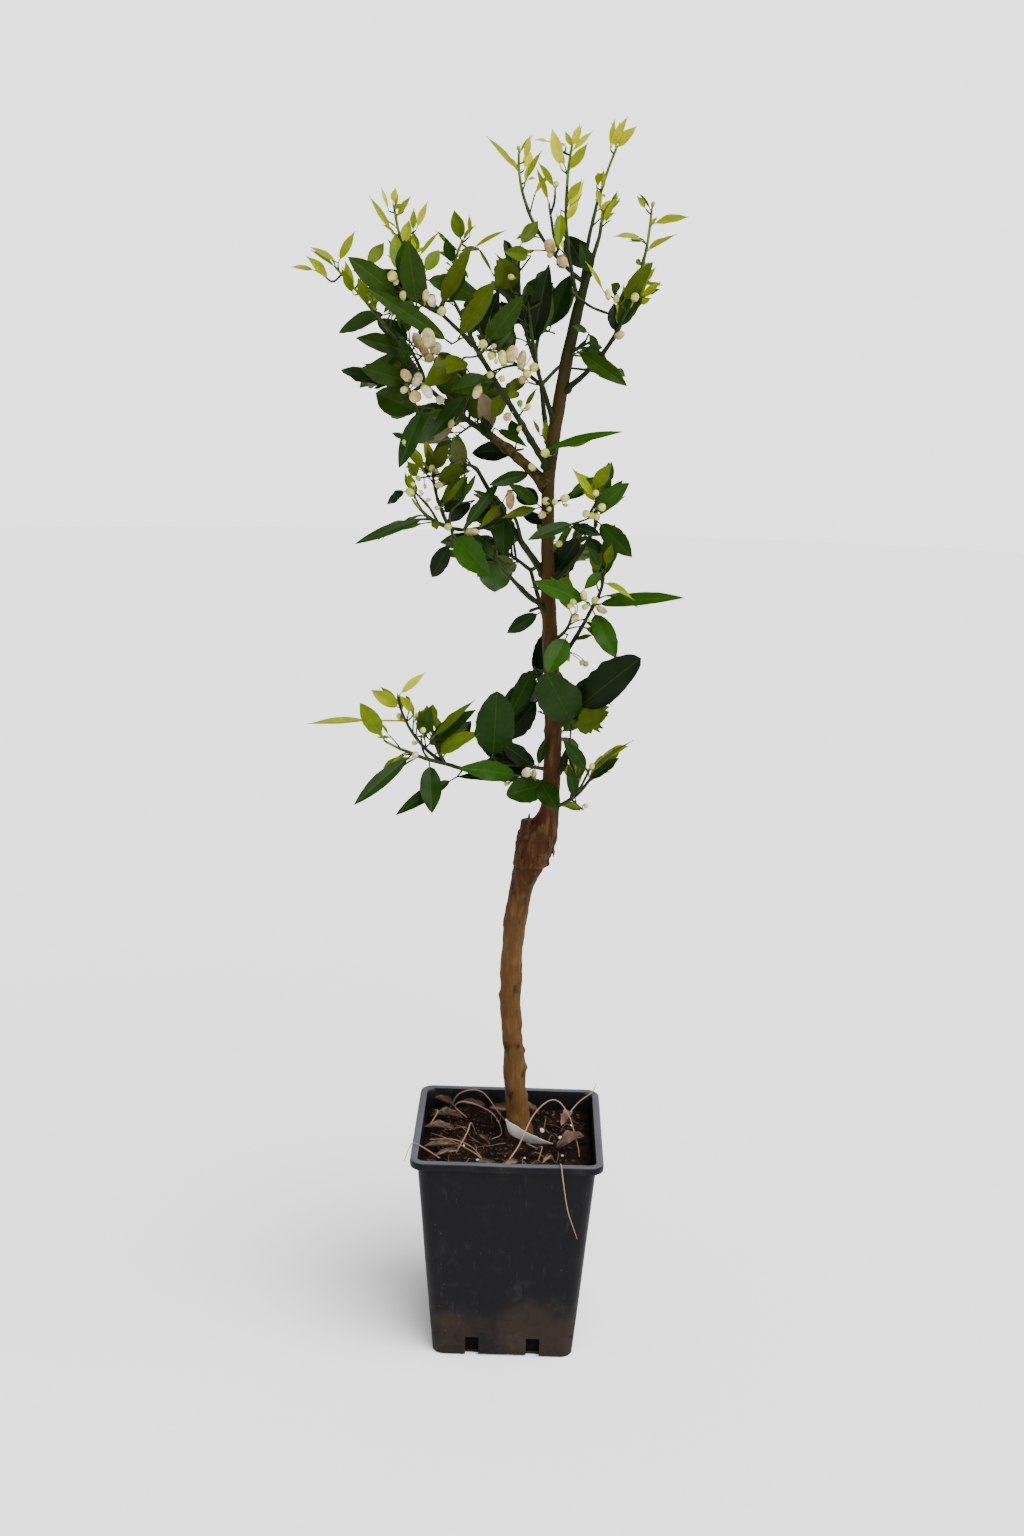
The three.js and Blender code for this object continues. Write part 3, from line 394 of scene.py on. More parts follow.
# Compost
# Moist potting compost of bark fines, filled to 25 mm below the rim: a rough bed with
# loose bark chips and crumbs lying over it.
SOIL_LEVEL = 230
SOIL_FOOT = 29
SOIL_GAP = 0.3
BED_RINGS = 34
CHIP_REACH = 99
GOLDEN = (1 + math.sqrt(5)) / 2
LUMP_CORNERS = [
    Vector(corner) for a, b in ((-1, GOLDEN), (1, GOLDEN), (-1, -GOLDEN), (1, -GOLDEN))
    for corner in ((a, b, 0), (0, a, b), (b, 0, a))
]
LUMP_EDGE = 2.1
CHIP_KINDS = [
    ("compost_crumbs", 2600, (0.9, 2.6), (0.5, 0.9), (0.022, 0.013, 0.009)),
    ("bark_chips", 620, (2.2, 6.5), (0.22, 0.6), (0.058, 0.03, 0.019)),
    ("pale_chips", 150, (2.0, 5.0), (0.2, 0.5), (0.13, 0.082, 0.052)),
]
TRUNK_FOOT = Vector((14, 28, 0))
TRUNK_FOOT_ROOM = 17
draw_soil = np.random.default_rng(11)


def bed_height(x, y):
    low = noise.noise(Vector((x, y, 3)) * 0.03)
    lumps = noise.fractal(Vector((x, y, 9)) * 0.11, 0.8, 2.1, 4)
    return SOIL_LEVEL + 2.2 * low + 2.0 * lumps


def inside_pot(x, y, margin):
    half = wall_half(SOIL_LEVEL) - POT_WALL - margin
    corner = POT_CORNER
    past_x = max(abs(x) - (half - corner), 0)
    past_y = max(abs(y) - (half - corner), 0)
    return math.hypot(past_x, past_y) < corner


def turned(draw):
    """A random turn in space, from four draws."""
    axis = Vector(draw.normal(size=3)).normalized()
    return Matrix.Rotation(draw.uniform(0, 2 * math.pi), 3, axis)


def lump(draw, size, turn):
    """A rough pebble of twenty faces, with its corners jittered."""
    points = []
    for corner in LUMP_CORNERS:
        push = corner.normalized() * draw.uniform(0.75, 1.15)
        points.append(turn @ Vector((push.x * size[0], push.y * size[1], push.z * size[2])))
    return points


def lump_faces():
    """The faces of the pebble: every three corners that lie nearest each other."""
    faces = []
    for i, j, k in combinations(range(len(LUMP_CORNERS)), 3):
        a, b, c = LUMP_CORNERS[i], LUMP_CORNERS[j], LUMP_CORNERS[k]
        if max((a - b).length, (b - c).length, (a - c).length) < LUMP_EDGE:
            outward = (b - a).cross(c - a).dot(a + b + c) > 0
            faces.append((i, j, k) if outward else (i, k, j))
    return faces


LUMP_FACES = lump_faces()
bed = Shape()
bed_rings = [square_ring(wall_half(SOIL_FOOT) - POT_WALL - SOIL_GAP, POT_CORNER - POT_WALL, SOIL_FOOT)]
top_half = wall_half(SOIL_LEVEL) - POT_WALL - SOIL_GAP
bed_rings.append(square_ring(top_half - 0.3, POT_CORNER - POT_WALL, SOIL_LEVEL - 8))
for step in range(BED_RINGS):
    share = 1 - step / BED_RINGS
    ring = square_ring(top_half, POT_CORNER - POT_WALL, 0)
    for point in ring:
        point.x *= share
        point.y *= share
        point.z = bed_height(point.x, point.y)
    bed_rings.append(ring)
loft(bed, bed_rings)

soil_finish, place, shader = start_finish("moist compost")
damp = grain(place, 55, 5, 0.65)
feed(
    shader,
    Base_Color=blend(rise(damp, 0.35, 0.7), (0.003, 0.0015, 0.0008), (0.014, 0.0065, 0.003)),
    Roughness=0.95 - 0.2 * rise(grain(place, 90, 2), 0.5, 0.8),
    Normal=relief(grain(place, 420, 4, 0.7), 0.0012, 0.9),
    Specular_IOR_Level=0.06,
)
make_piece("compost_bed", bed, [soil_finish], ["soil"], crease=60)

for name, count, sizes, flatness, colour in CHIP_KINDS:
    chips = Shape()
    while len(chips.points) < len(LUMP_CORNERS) * count:
        x, y = draw_soil.uniform(-CHIP_REACH, CHIP_REACH, 2)
        size = draw_soil.uniform(*sizes)
        beside = (Vector((x, y, 0)) - TRUNK_FOOT).length > TRUNK_FOOT_ROOM + size
        if not beside or not inside_pot(x, y, 1.5 + size):
            continue
        turn = Matrix.Rotation(draw_soil.normal(0, 0.35), 3, "X")
        turn = turn @ Matrix.Rotation(draw_soil.normal(0, 0.35), 3, "Y")
        turn = Matrix.Rotation(draw_soil.uniform(0, 2 * math.pi), 3, "Z") @ turn
        flat = draw_soil.uniform(*flatness)
        shape_size = (size / 2, size / 2 * draw_soil.uniform(0.35, 0.8), size / 2 * flat)
        rest = Vector((x, y, bed_height(x, y) + shape_size[2] * draw_soil.uniform(0.2, 1.3)))
        chips.add([rest + point for point in lump(draw_soil, shape_size, turn)], LUMP_FACES)
    chip_finish, place, shader = start_finish(name.replace("_", " "))
    mottle = grain(place, 120, 3, 0.6)
    feed(
        shader,
        Base_Color=blend(mottle, [0.3 * c for c in colour], [0.85 * c for c in colour]),
        Roughness=0.7 + 0.25 * mottle,
        Normal=relief(grain(place, 700, 3), 0.0005, 0.6),
        Specular_IOR_Level=0.06,
    )
    make_piece(name, chips, [chip_finish], crease=25)


# White grains
# Grains of perlite and small pale pebbles mixed into the compost, of which the largest
# have worked up to its surface.
GRAIN_SPOTS = [
    (-34, -52, 7), (-2, -78, 11), (4, -72, 6), (48, -88, 9), (40, 34, 9), (62, 16, 6),
    (-70, 34, 4.0), (64, -30, 4.2), (-52, -12, 3.6), (-14, 62, 4.0), (76, 55, 5.0), (20, -40, 3.4),
]
grains = Shape()
for x, y, size in GRAIN_SPOTS:
    turn = turned(draw_soil)
    middle = Vector((x, y, bed_height(x, y) + 0.32 * size))
    body = lump(draw_soil, (0.5 * size, 0.42 * size, 0.36 * size), turn)
    grains.add([middle + point for point in body], LUMP_FACES)
perlite, place, shader = start_finish("white perlite")
feed(
    shader,
    Base_Color=blend(grain(place, 160, 3), (0.45, 0.41, 0.34), (0.75, 0.72, 0.66)),
    Roughness=0.8 + 0.1 * grain(place, 300, 2),
    Normal=relief(grain(place, 900, 3), 0.0004, 0.7),
)
grain_piece = make_piece("perlite_grains", grains, [perlite], crease=80)
rounder = grain_piece.modifiers.new("rounder", "SUBSURF")
rounder.levels = rounder.render_levels = 2


# Straws and dry leaves
# Dead grass straws and a few curled brown leaves that fell on the compost: two straws
# hang over the rim, the others arch and loop across the surface.
STRAWS = [
    [(-75, 84, 232), (-60, 70, 262), (-34, 62, 268), (-12, 50, 246), (4, 34, 234)],
    [(-52, 66, 232), (-66, 58, 250), (-50, 44, 262), (-20, 40, 250), (-8, 20, 234), (-24, 4, 232)],
    [
        (-8, -80, 233), (12, -50, 250), (30, -20, 278), (52, 4, 286), (70, 2, 270), (82, -20, 240),
        (84, -34, 232),
    ],
    [(-92, -8, 236), (-66, -22, 244), (-44, -30, 240), (-30, -44, 233)],
    [(-60, -34, 233), (-48, -20, 252), (-44, -6, 258), (-38, 10, 236)],
    [
        (46, -70, 234), (58, -92, 246), (61, -108, 257.5), (64, -113.5, 240), (70, -113, 205),
        (78, -111, 180), (82, -110.5, 168),
    ],
    [(-78, -56, 236), (-96, -64, 252), (-108, -66, 258.5), (-113, -68, 252), (-118, -72, 238)],
    [(-96, 30, 234), (-86, 46, 248), (-92, 66, 240), (-78, 80, 233)],
    [(22, -6, 234), (34, -22, 236), (40, -40, 246), (36, -50, 234)],
    [(66, 60, 234), (84, 78, 250), (101, 92, 258.5), (107, 99, 268)],
    [(-20, -66, 233), (-40, -40, 237), (-72, -12, 240), (-92, 10, 236)],
]
STRAW_RADIUS = 0.95
LITTER_COUNT = 46
LITTER_REACH = 80
LITTER_ROOM = 20
DRY_LEAVES = [
    ((-54, 48, 239), 42, 17, 166, 10, 2.0), ((-66, 76, 241), 32, 14, 150, 16, 1.8),
    ((-28, 80, 241), 36, 13, 188, 14, 1.9), ((8, 64, 241), 32, 15, 172, 20, 1.5),
    ((-62, 16, 238), 38, 15, 178, 12, 1.9), ((-58, -22, 237), 42, 13, 202, 9, 1.8),
    ((56, -30, 239), 38, 26, 22, 28, 2.2), ((62, 28, 241), 32, 19, 58, 22, 1.7),
    ((38, 68, 240), 34, 14, 160, 14, 1.8), ((-36, -62, 236), 30, 11, 338, 8, 1.6),
    ((14, -60, 236), 28, 11, 214, 9, 1.7), ((-20, -18, 236), 28, 10, 120, 9, 1.8),
    ((40, -64, 236), 26, 12, 60, 16, 1.9), ((-84, -52, 237), 30, 11, 20, 12, 1.8),
]


def smooth_run(points, steps):
    """A smooth run through points, as a row of close places on it."""
    ends = [points[0] * 2 - points[1], *points, points[-1] * 2 - points[-2]]
    run = []
    for a, b, c, d in zip(ends, ends[1:], ends[2:], ends[3:]):
        for step in range(steps):
            t = step / steps
            run.append(0.5 * (
                2 * b + (c - a) * t + (2 * a - 5 * b + 4 * c - d) * t * t
                + (3 * b - a - 3 * c + d) * t * t * t
            ))
    run.append(points[-1].copy())
    return run


def tube(shape, run, radii, sides, finish=0, ripple=None):
    """Skins a round limb along a run of places, with a radius at each."""
    rings = []
    side = None
    for i, middle in enumerate(run):
        ahead = (run[min(i + 1, len(run) - 1)] - run[max(i - 1, 0)]).normalized()
        if side is None:
            side = ahead.orthogonal().normalized()
        side = (side - ahead * side.dot(ahead)).normalized()
        over = ahead.cross(side)
        ring = []
        for step in range(sides):
            angle = 2 * math.pi * step / sides
            out = side * math.cos(angle) + over * math.sin(angle)
            radius = radii[i] if ripple is None else radii[i] * (1 + ripple(middle + out * radii[i], i))
            ring.append(middle + out * radius)
        rings.append(ring)
    loft(shape, rings, finish)


straws = Shape()
for stations in STRAWS:
    run = smooth_run([Vector(station) for station in stations], 7)
    last = len(run) - 1
    radii = [STRAW_RADIUS * (1 - 0.55 * i / last) for i in range(last + 1)]
    tube(straws, run, radii, 6)
for i in range(LITTER_COUNT):
    x, y = draw_soil.uniform(-LITTER_REACH, LITTER_REACH, 2)
    heading = draw_soil.uniform(0, 2 * math.pi)
    length, bend, arch = draw_soil.uniform(14, 42), draw_soil.normal(0, 0.5), draw_soil.uniform(1, 9)
    spots = []
    for step in range(5):
        share = step / 4
        way = heading + bend * share
        reach = Vector((math.cos(way), math.sin(way), 0)) * (length * (share - 0.5))
        place_x, place_y = x + reach.x, y + reach.y
        rise_here = 1.2 + arch * math.sin(math.pi * share)
        spots.append(Vector((place_x, place_y, bed_height(place_x, place_y) + rise_here)))
    if all(inside_pot(spot.x, spot.y, 3) and (spot - TRUNK_FOOT).xy.length > LITTER_ROOM for spot in spots):
        tube(straws, smooth_run(spots, 4), [0.62 - 0.02 * step for step in range(17)], 5, 1)
straw_finish, place, shader = start_finish("dry straw")
feed(
    shader,
    Base_Color=blend(grain(place, 45, 3), (0.1, 0.05, 0.026), (0.27, 0.17, 0.1)),
    Roughness=0.75 + 0.15 * grain(place, 200, 2),
)
litter_finish, place, shader = start_finish("brown litter")
feed(
    shader,
    Base_Color=blend(grain(place, 60, 3), (0.035, 0.015, 0.007), (0.15, 0.08, 0.042)),
    Roughness=0.75 + 0.15 * grain(place, 200, 2),
)
make_piece("dry_straws", straws, [straw_finish, litter_finish])


def blade(shape, leaf, rows, finishes):
    """A closed blade round its midrib, from the end of its stalk to its tip."""
    upper, under, rib = finishes
    along = leaf["heading"]
    over = (leaf["face"] - along * leaf["face"].dot(along)).normalized()
    side = over.cross(along)
    stalk = leaf["stalk"] / leaf["length"]
    halves = (-1, -0.66, -0.33, None, None, 0.33, 0.66, 1)
    tops, bottoms = [], []
    for row in range(rows + 1):
        u = row / rows
        t = stalk + u * (1 - stalk)
        middle = leaf["root"] + along * (leaf["length"] * t) - over * (leaf["length"] * leaf["arch"] * t * t)
        ahead = (along - over * (2 * leaf["arch"] * t)).normalized()
        twist = leaf["twist"] * u
        across = side * math.cos(twist) + over * math.sin(twist)
        across = (across - ahead * across.dot(ahead)).normalized()
        normal = ahead.cross(across)
        low, blunt, acute = leaf["outline"]
        swell = max(math.sin(math.pi * u ** low), 0) ** (blunt + (acute - blunt) * u)
        half = max(leaf["width"] / 2 * swell, 0.35)
        rib_share = min(0.2, leaf["rib"] / half)
        for column, v in enumerate(halves):
            v = (-rib_share if column == 3 else rib_share) if v is None else v
            ragged = 1 + leaf["ragged"] * noise.noise(Vector((u * 9, v * 2, leaf["seed"]))) * abs(v)
            phase = leaf["seed"] + 2 * math.pi * leaf["waves"] * u + (2 if v > 0 else 0)
            wave = leaf["wave"] * math.sin(phase)
            curl = leaf["curl"]
            angle = abs(v) * curl
            reach = half * ragged * (math.sin(angle) / curl if abs(curl) > 0.02 else abs(v))
            lift = half * ((1 - math.cos(angle)) / curl if abs(curl) > 0.02 else 0)
            lift += half * (leaf["fold"] * abs(v) + wave * v * v)
            pair = leaf["vein_pairs"] * u - 1.2 * abs(v)
            lift += leaf["veins"] * math.sin(2 * math.pi * pair) * min(half, 8) / 8
            place = middle + across * math.copysign(reach, v) + normal * lift
            inner = column in (3, 4)
            thin = leaf["thick"] / 2
            tops.append(place + normal * (thin - (0.12 if inner else 0)))
            bottoms.append(place - normal * (thin + (0.4 if inner and half > 2 else 0)))
    wide = len(halves)
    total = len(tops)
    faces_top, faces_under, faces_rib = [], [], []
    for row in range(rows):
        for column in range(wide - 1):
            a = row * wide + column
            b, c, d = a + wide, a + wide + 1, a + 1
            face = (a, b, c, d)
            back = (total + a, total + d, total + c, total + b)
            if column == 3:
                faces_rib += [face, back]
            else:
                faces_top.append(face)
                faces_under.append(back)
        left, right = row * wide, row * wide + wide - 1
        faces_under.append((left, total + left, total + left + wide, left + wide))
        faces_under.append((right, right + wide, total + right + wide, total + right))
    end = rows * wide
    for column in range(wide - 1):
        faces_under.append((column, column + 1, total + column + 1, total + column))
        faces_under.append((end + column, total + end + column, total + end + column + 1, end + column + 1))
    start = len(shape.points)
    shape.add(tops + bottoms, faces_top, upper)
    for faces, finish in ((faces_under, under), (faces_rib, rib)):
        shape.faces.extend(tuple(start + i for i in face) for face in faces)
        shape.finishes.extend([finish] * len(faces))


dry = Shape()
for i, (root, length, width, heading, climb, curl) in enumerate(DRY_LEAVES):
    turn, lift = math.radians(heading), math.radians(climb)
    blade(dry, {
        "root": Vector(root), "length": length, "width": width, "stalk": 2, "arch": 0.3 - 0.12 * (i % 3),
        "heading": Vector((math.cos(turn) * math.cos(lift), math.sin(turn) * math.cos(lift), math.sin(lift))),
        "face": Vector((0.2, -0.4, 1)), "twist": 0.7 - 0.5 * (i % 4), "outline": (0.9, 0.65, 0.95),
        "rib": 0.4, "ragged": 0.35, "seed": i * 3.1, "wave": 0.18, "waves": 2.2, "curl": curl, "fold": 0.2,
        "veins": 0.2, "vein_pairs": 5, "thick": 0.5,
    }, 18, (0, 1, 1))
dry_upper, place, shader = start_finish("dead leaf")
dead = grain(place, 60, 4, 0.6)
feed(
    shader,
    Base_Color=blend(rise(dead, 0.3, 0.72), (0.035, 0.015, 0.008), (0.13, 0.07, 0.04)),
    Roughness=0.65 + 0.25 * dead,
    Normal=relief(grain(place, 500, 3), 0.0005, 0.5),
)
dry_under, place, shader = start_finish("dead leaf underside")
pale = grain(place, 70, 4, 0.6)
feed(
    shader,
    Base_Color=blend(pale, (0.09, 0.05, 0.032), (0.22, 0.15, 0.1)),
    Roughness=0.75 + 0.2 * pale,
)
make_piece("dry_leaves", dry, [dry_upper, dry_under])


# Foot label
# A blank strip of white flexible plastic, looped loosely round the foot of the trunk: it
# starts narrow beside the bark and trails off over the compost.
LABEL_THICK = 0.6
LABEL_HALF_WIDTH = 9.5
LABEL_STEPS = 46
LABEL_SIDES = 10
LABEL_FROM = 200
LABEL_TO = 316
label = Shape()
rings = []
for step in range(LABEL_STEPS + 1):
    share = step / LABEL_STEPS
    angle = math.radians(LABEL_FROM + (LABEL_TO - LABEL_FROM) * share)
    trailing = max(share - 0.5, 0) * 2
    radius = 18 + 14 * share + 22 * trailing ** 2
    out = Vector((math.cos(angle), math.sin(angle), 0))
    flare = 0.26 + 0.9 * trailing
    middle = TRUNK_FOOT + out * radius + Vector((0, 0, SOIL_LEVEL + 18 - 7 * share - 5 * trailing))
    tall = LABEL_HALF_WIDTH * min(1, 0.3 + 4 * share, 0.12 + 5 * (1 - share))
    upward = (Vector((0, 0, 1)) + out * flare).normalized()
    outward = (out - upward * out.dot(upward)).normalized()
    ring = []
    for corner in range(LABEL_SIDES):
        turn = 2 * math.pi * corner / LABEL_SIDES
        high = math.copysign(abs(math.sin(turn)) ** 0.25, math.sin(turn))
        deep = math.copysign(abs(math.cos(turn)) ** 0.6, math.cos(turn))
        ring.append(middle + upward * (tall * high) + outward * (LABEL_THICK / 2 * deep))
    rings.append(ring)
loft(label, rings)
label_finish, place, shader = start_finish("white label plastic")
stain = grain(place, 70, 4)
height = place.node("ShaderNodeSeparateXYZ", {}, {0: place}, "Z")
soiled = rise(0.246 - height + 0.012 * stain, 0.004, 0.02)
feed(
    shader,
    Base_Color=blend(0.7 * soiled, (0.78, 0.77, 0.76), (0.36, 0.3, 0.26)),
    Roughness=0.45 + 0.25 * stain,
)
make_piece("foot_strip", label, [label_finish], ["foot_label"], crease=60)


# Trunk
# The grafted trunk: a smooth rootstock with nubs and dark blotches, the swollen, flaking
# graft with the cut stump beside it, and the streaked scion, brown to near its green tip.
TRUNK = [
    (SOIL_LEVEL + 0.3, 14, 28, 17), (247, 12, 28, 13.9), (290, 7, 26, 13.3), (345, 3, 24, 12.3),
    (411, -2, 20, 12.4), (473, -1, 15, 12.2), (530, 5, 9, 13.2), (558, 11, 5, 14.2), (576, 17, 2, 18),
    (593, 21, 0, 22.4), (608, 23.5, 0, 22.8), (621, 28, -1, 18.6), (633, 35, -3, 13),
    (646, 38, -5, 10.2), (724, 39, -9, 9.8), (769, 37, -9, 9.4), (825, 33, -8, 8.7), (880, 29, -6, 8),
    (946, 26, -4, 7.1), (1010, 25, -2, 6.9), (1053, 29, 0, 7.2), (1096, 35, 2, 7.3), (1138, 41, 3, 6.9),
    (1195, 52, 5, 6), (1221, 59, 6, 4.4), (1246, 66, 6, 2.6),
]
TRUNK_SIDES = 56
TRUNK_STEP = 2.2
GRAFT_STEP = 1.3
GRAFT_FROM = 570
GRAFT_TO = 650
STUMP_FOOT = (576, 19, 0, 21)
STUMP_TIP = (628, 15, 0, 10)
STUMP_EDGE = (627.9, 628.5)
NUBS = [
    (411, 196, 7, 2.6), (340, 352, 5, 2.4), (318, 345, 5, 2.6), (452, 300, 6, 1.6), (365, 250, 8, 1.3),
    (500, 210, 7, 1.5), (280, 20, 7, 1.8), (430, 80, 6, 2.2), (385, 120, 6, 1.8), (684, 300, 5, 1.5),
    (735, 200, 5, 1.6), (790, 330, 4, 1.4), (848, 240, 4, 1.3), (925, 330, 4, 1.2), (973, 220, 4, 1.3),
    (1040, 300, 4, 1.2), (1120, 250, 4, 1.1), (1170, 340, 3, 0.9),
]


def station_at(stations, height):
    """The smooth values between stations of height and whatever goes with it."""
    column = np.array(stations, dtype=float)
    return [float(np.interp(height, column[:, 0], column[:, i])) for i in range(1, column.shape[1])]


def trunk_centre(height):
    right, back, _ = station_at(TRUNK, height)
    return Vector((right, back, height))


def smooth_station(height):
    """The trunk's centre and radius, with its stations' kinks rounded off."""
    reach = 7
    spans = [station_at(TRUNK, min(max(height + reach * k, TRUNK[0][0]), TRUNK[-1][0])) for k in (-1, 0, 1)]
    return [0.25 * a + 0.5 * b + 0.25 * c for a, b, c in zip(*spans)]


def bark_relief(place, angle):
    """How far the bark stands out at a place: lumps, fine furrows, and flakes at the graft."""
    height = place.z
    lumps = noise.fractal(place * 0.045, 0.9, 2, 3)
    furrows = noise.fractal(Vector((place.x * 0.32, place.y * 0.32, height * 0.06)), 0.8, 2.1, 4)
    rootstock = 1 - min(max((height - 545) / 40, 0), 1)
    graft = math.exp(-(((height - 600) / 34) ** 2))
    rise_out = 0.55 * lumps + 0.22 * furrows
    around = Vector((0.6 * math.cos(angle), 0.6 * math.sin(angle), height * 0.04))
    rise_out += rootstock * (1.9 * noise.noise(around) + 0.5 * noise.noise(place * 0.09))
    scaly = Vector((4 + place.x * 0.12, 4 + place.y * 0.12, 4 + height * 0.055))
    flake = noise.fractal(scaly, 0.7, 2.2, 4)
    rise_out += graft * (1.9 * max(flake, 0) ** 0.5 - 0.9 * max(-flake, 0))
    for nub_height, nub_turn, size, proud in NUBS:
        if abs(height - nub_height) < 2.5 * size:
            aside = angle - math.radians(nub_turn)
            aside = math.atan2(math.sin(aside), math.cos(aside))
            away = math.hypot((height - nub_height) / size, aside * 12 / size)
            rise_out += proud * math.exp(-away * away * 1.6)
    return rise_out


def trunk_reach(middle, radius, direction):
    """The distance from the middle to the outline of trunk and stump together."""
    height = middle.z
    if not STUMP_FOOT[0] <= height <= STUMP_TIP[0]:
        return radius
    right, back, stump_radius = station_at([STUMP_FOOT, STUMP_TIP], height)
    offset = Vector((right, back, height)) - middle
    along = offset.dot(direction)
    room = stump_radius ** 2 - offset.length_squared + along ** 2
    return radius if room < 0 else max(radius, along + math.sqrt(room))


trunk_heights = [TRUNK[0][0]]
while trunk_heights[-1] < TRUNK[-1][0] - 2:
    height = trunk_heights[-1]
    trunk_heights.append(height + (GRAFT_STEP if GRAFT_FROM < height < GRAFT_TO else TRUNK_STEP))
trunk_heights = [height for height in trunk_heights if abs(height - sum(STUMP_EDGE) / 2) > 1]
trunk_heights = sorted([*trunk_heights, *STUMP_EDGE, TRUNK[-1][0]])
trunk_shape = Shape()
trunk_rings = []
for height in trunk_heights:
    right, back, radius = smooth_station(height)
    middle = Vector((right, back, height))
    flare = 3.2 * math.exp(-(height - SOIL_LEVEL) / 9)
    ring = []
    for step in range(TRUNK_SIDES):
        angle = 2 * math.pi * step / TRUNK_SIDES
        direction = Vector((math.cos(angle), math.sin(angle), 0))
        reach = trunk_reach(middle, radius, direction)
        skin = middle + direction * reach
        reach += bark_relief(skin, angle) * min(1, radius / 8) + flare * (0.35 * math.sin(4 * angle + 1))
        ring.append(middle + direction * reach)
    trunk_rings.append(ring)
tip_right, tip_back, _ = station_at(TRUNK, TRUNK[-1][0])
tip_end = Vector((tip_right, tip_back, TRUNK[-1][0] + 2))
trunk_rings.append([tip_end + 0.4 * (p - Vector((tip_right, tip_back, p.z))) for p in trunk_rings[-1]])
loft(trunk_shape, trunk_rings)

bark, place, shader = start_finish("trunk bark")
height = place.node("ShaderNodeSeparateXYZ", {}, {0: place}, "Z")
wander = height + 0.03 * grain(place, 22, 3) - 0.015
streaks = grain(stretched(place, (1, 1, 0.16)), 190, 4, 0.6)
blotches = grain(stretched(place, (1, 1, 0.55)), 60, 5, 0.62)
fine = grain(place, 700, 3, 0.7)
rootstock = blend(rise(wander, 0.24, 0.44), (0.07, 0.033, 0.009), (0.062, 0.029, 0.007))
rust = blend(rise(wander, 0.46, 0.6), rootstock, (0.026, 0.0075, 0.0009))
scion = blend(rise(wander, 0.625, 0.66), rust, (0.033, 0.014, 0.0016))
crown_wood = blend(rise(wander, 0.84, 1.0), scion, (0.027, 0.018, 0.0026))
young = blend(rise(wander, 1.06, 1.2), crown_wood, (0.008, 0.014, 0.0008))
lit = blend(0.5 * rise(streaks, 0.45, 0.72) * rise(1.0 - height, 0, 0.3), young, (0.11, 0.063, 0.021))
dark_spots = rise(blotches, 0.54, 0.68) * rise(0.64 - height, 0, 0.06)
furrow = 0.35 * rise(streaks, 0.3, 0.5) * (1 - streaks)
feed(
    shader,
    Base_Color=blend(0.7 * dark_spots + furrow, lit, (0.01, 0.005, 0.002)),
    Roughness=0.62 + 0.25 * blotches,
    Normal=relief(0.7 * streaks + 0.5 * fine + 0.6 * blotches, 0.0012, 0.7),
    Specular_IOR_Level=0.09,
)
make_piece("grafted_trunk", trunk_shape, [bark], ["trunk"], crease=60)


# Graft flakes
# Thin curls of dry bark that peel off the swollen graft, each rooted in it at its upper end.
FLAKES = [
    (624, 215, 15, 7, 200), (612, 200, 19, 6, 30), (600, 222, 16, 6, 12), (588, 236, 14, 5, 18),
    (607, 262, 17, 5, 25), (592, 290, 13, 5, 14), (615, 305, 14, 4, 20), (600, 335, 12, 5, 16),
    (606, 130, 15, 6, 18), (592, 70, 14, 5, 20), (610, 30, 13, 5, 14), (617, 170, 14, 6, 24),
]
flakes = Shape()
for i, (height, turn, length, width, open_angle) in enumerate(FLAKES):
    angle = math.radians(turn)
    out = Vector((math.cos(angle), math.sin(angle), 0))
    right, back, radius = smooth_station(height)
    middle = Vector((right, back, height))
    root = middle + out * (trunk_reach(middle, radius, out) - 0.6)
    lift = math.radians(open_angle if open_angle < 90 else 20)
    down = -1 if open_angle < 90 else 1
    blade(flakes, {
        "root": root, "length": length, "width": width, "stalk": 0.5,
        "heading": (Vector((0, 0, down)) * math.cos(lift) + out * math.sin(lift)).normalized(),
        "face": out, "arch": 0.22, "twist": 0.3 * (i % 3 - 1), "outline": (0.6, 0.35, 0.35), "rib": 0.3,
        "ragged": 0.5, "seed": 2.7 * i, "wave": 0.1, "waves": 1.5, "curl": 0.7, "fold": -0.15,
        "veins": 0.15, "vein_pairs": 3, "thick": 0.7,
    }, 10, (0, 0, 0))
flake_finish, place, shader = start_finish("peeling bark")
scale_tone = grain(place, 130, 4, 0.6)
feed(
    shader,
    Base_Color=blend(scale_tone, (0.013, 0.005, 0.001), (0.07, 0.031, 0.009)),
    Roughness=0.75 + 0.2 * scale_tone,
    Normal=relief(grain(place, 650, 3), 0.0005, 0.6),
    Specular_IOR_Level=0.09,
)
make_piece("graft_flakes", flakes, [flake_finish])


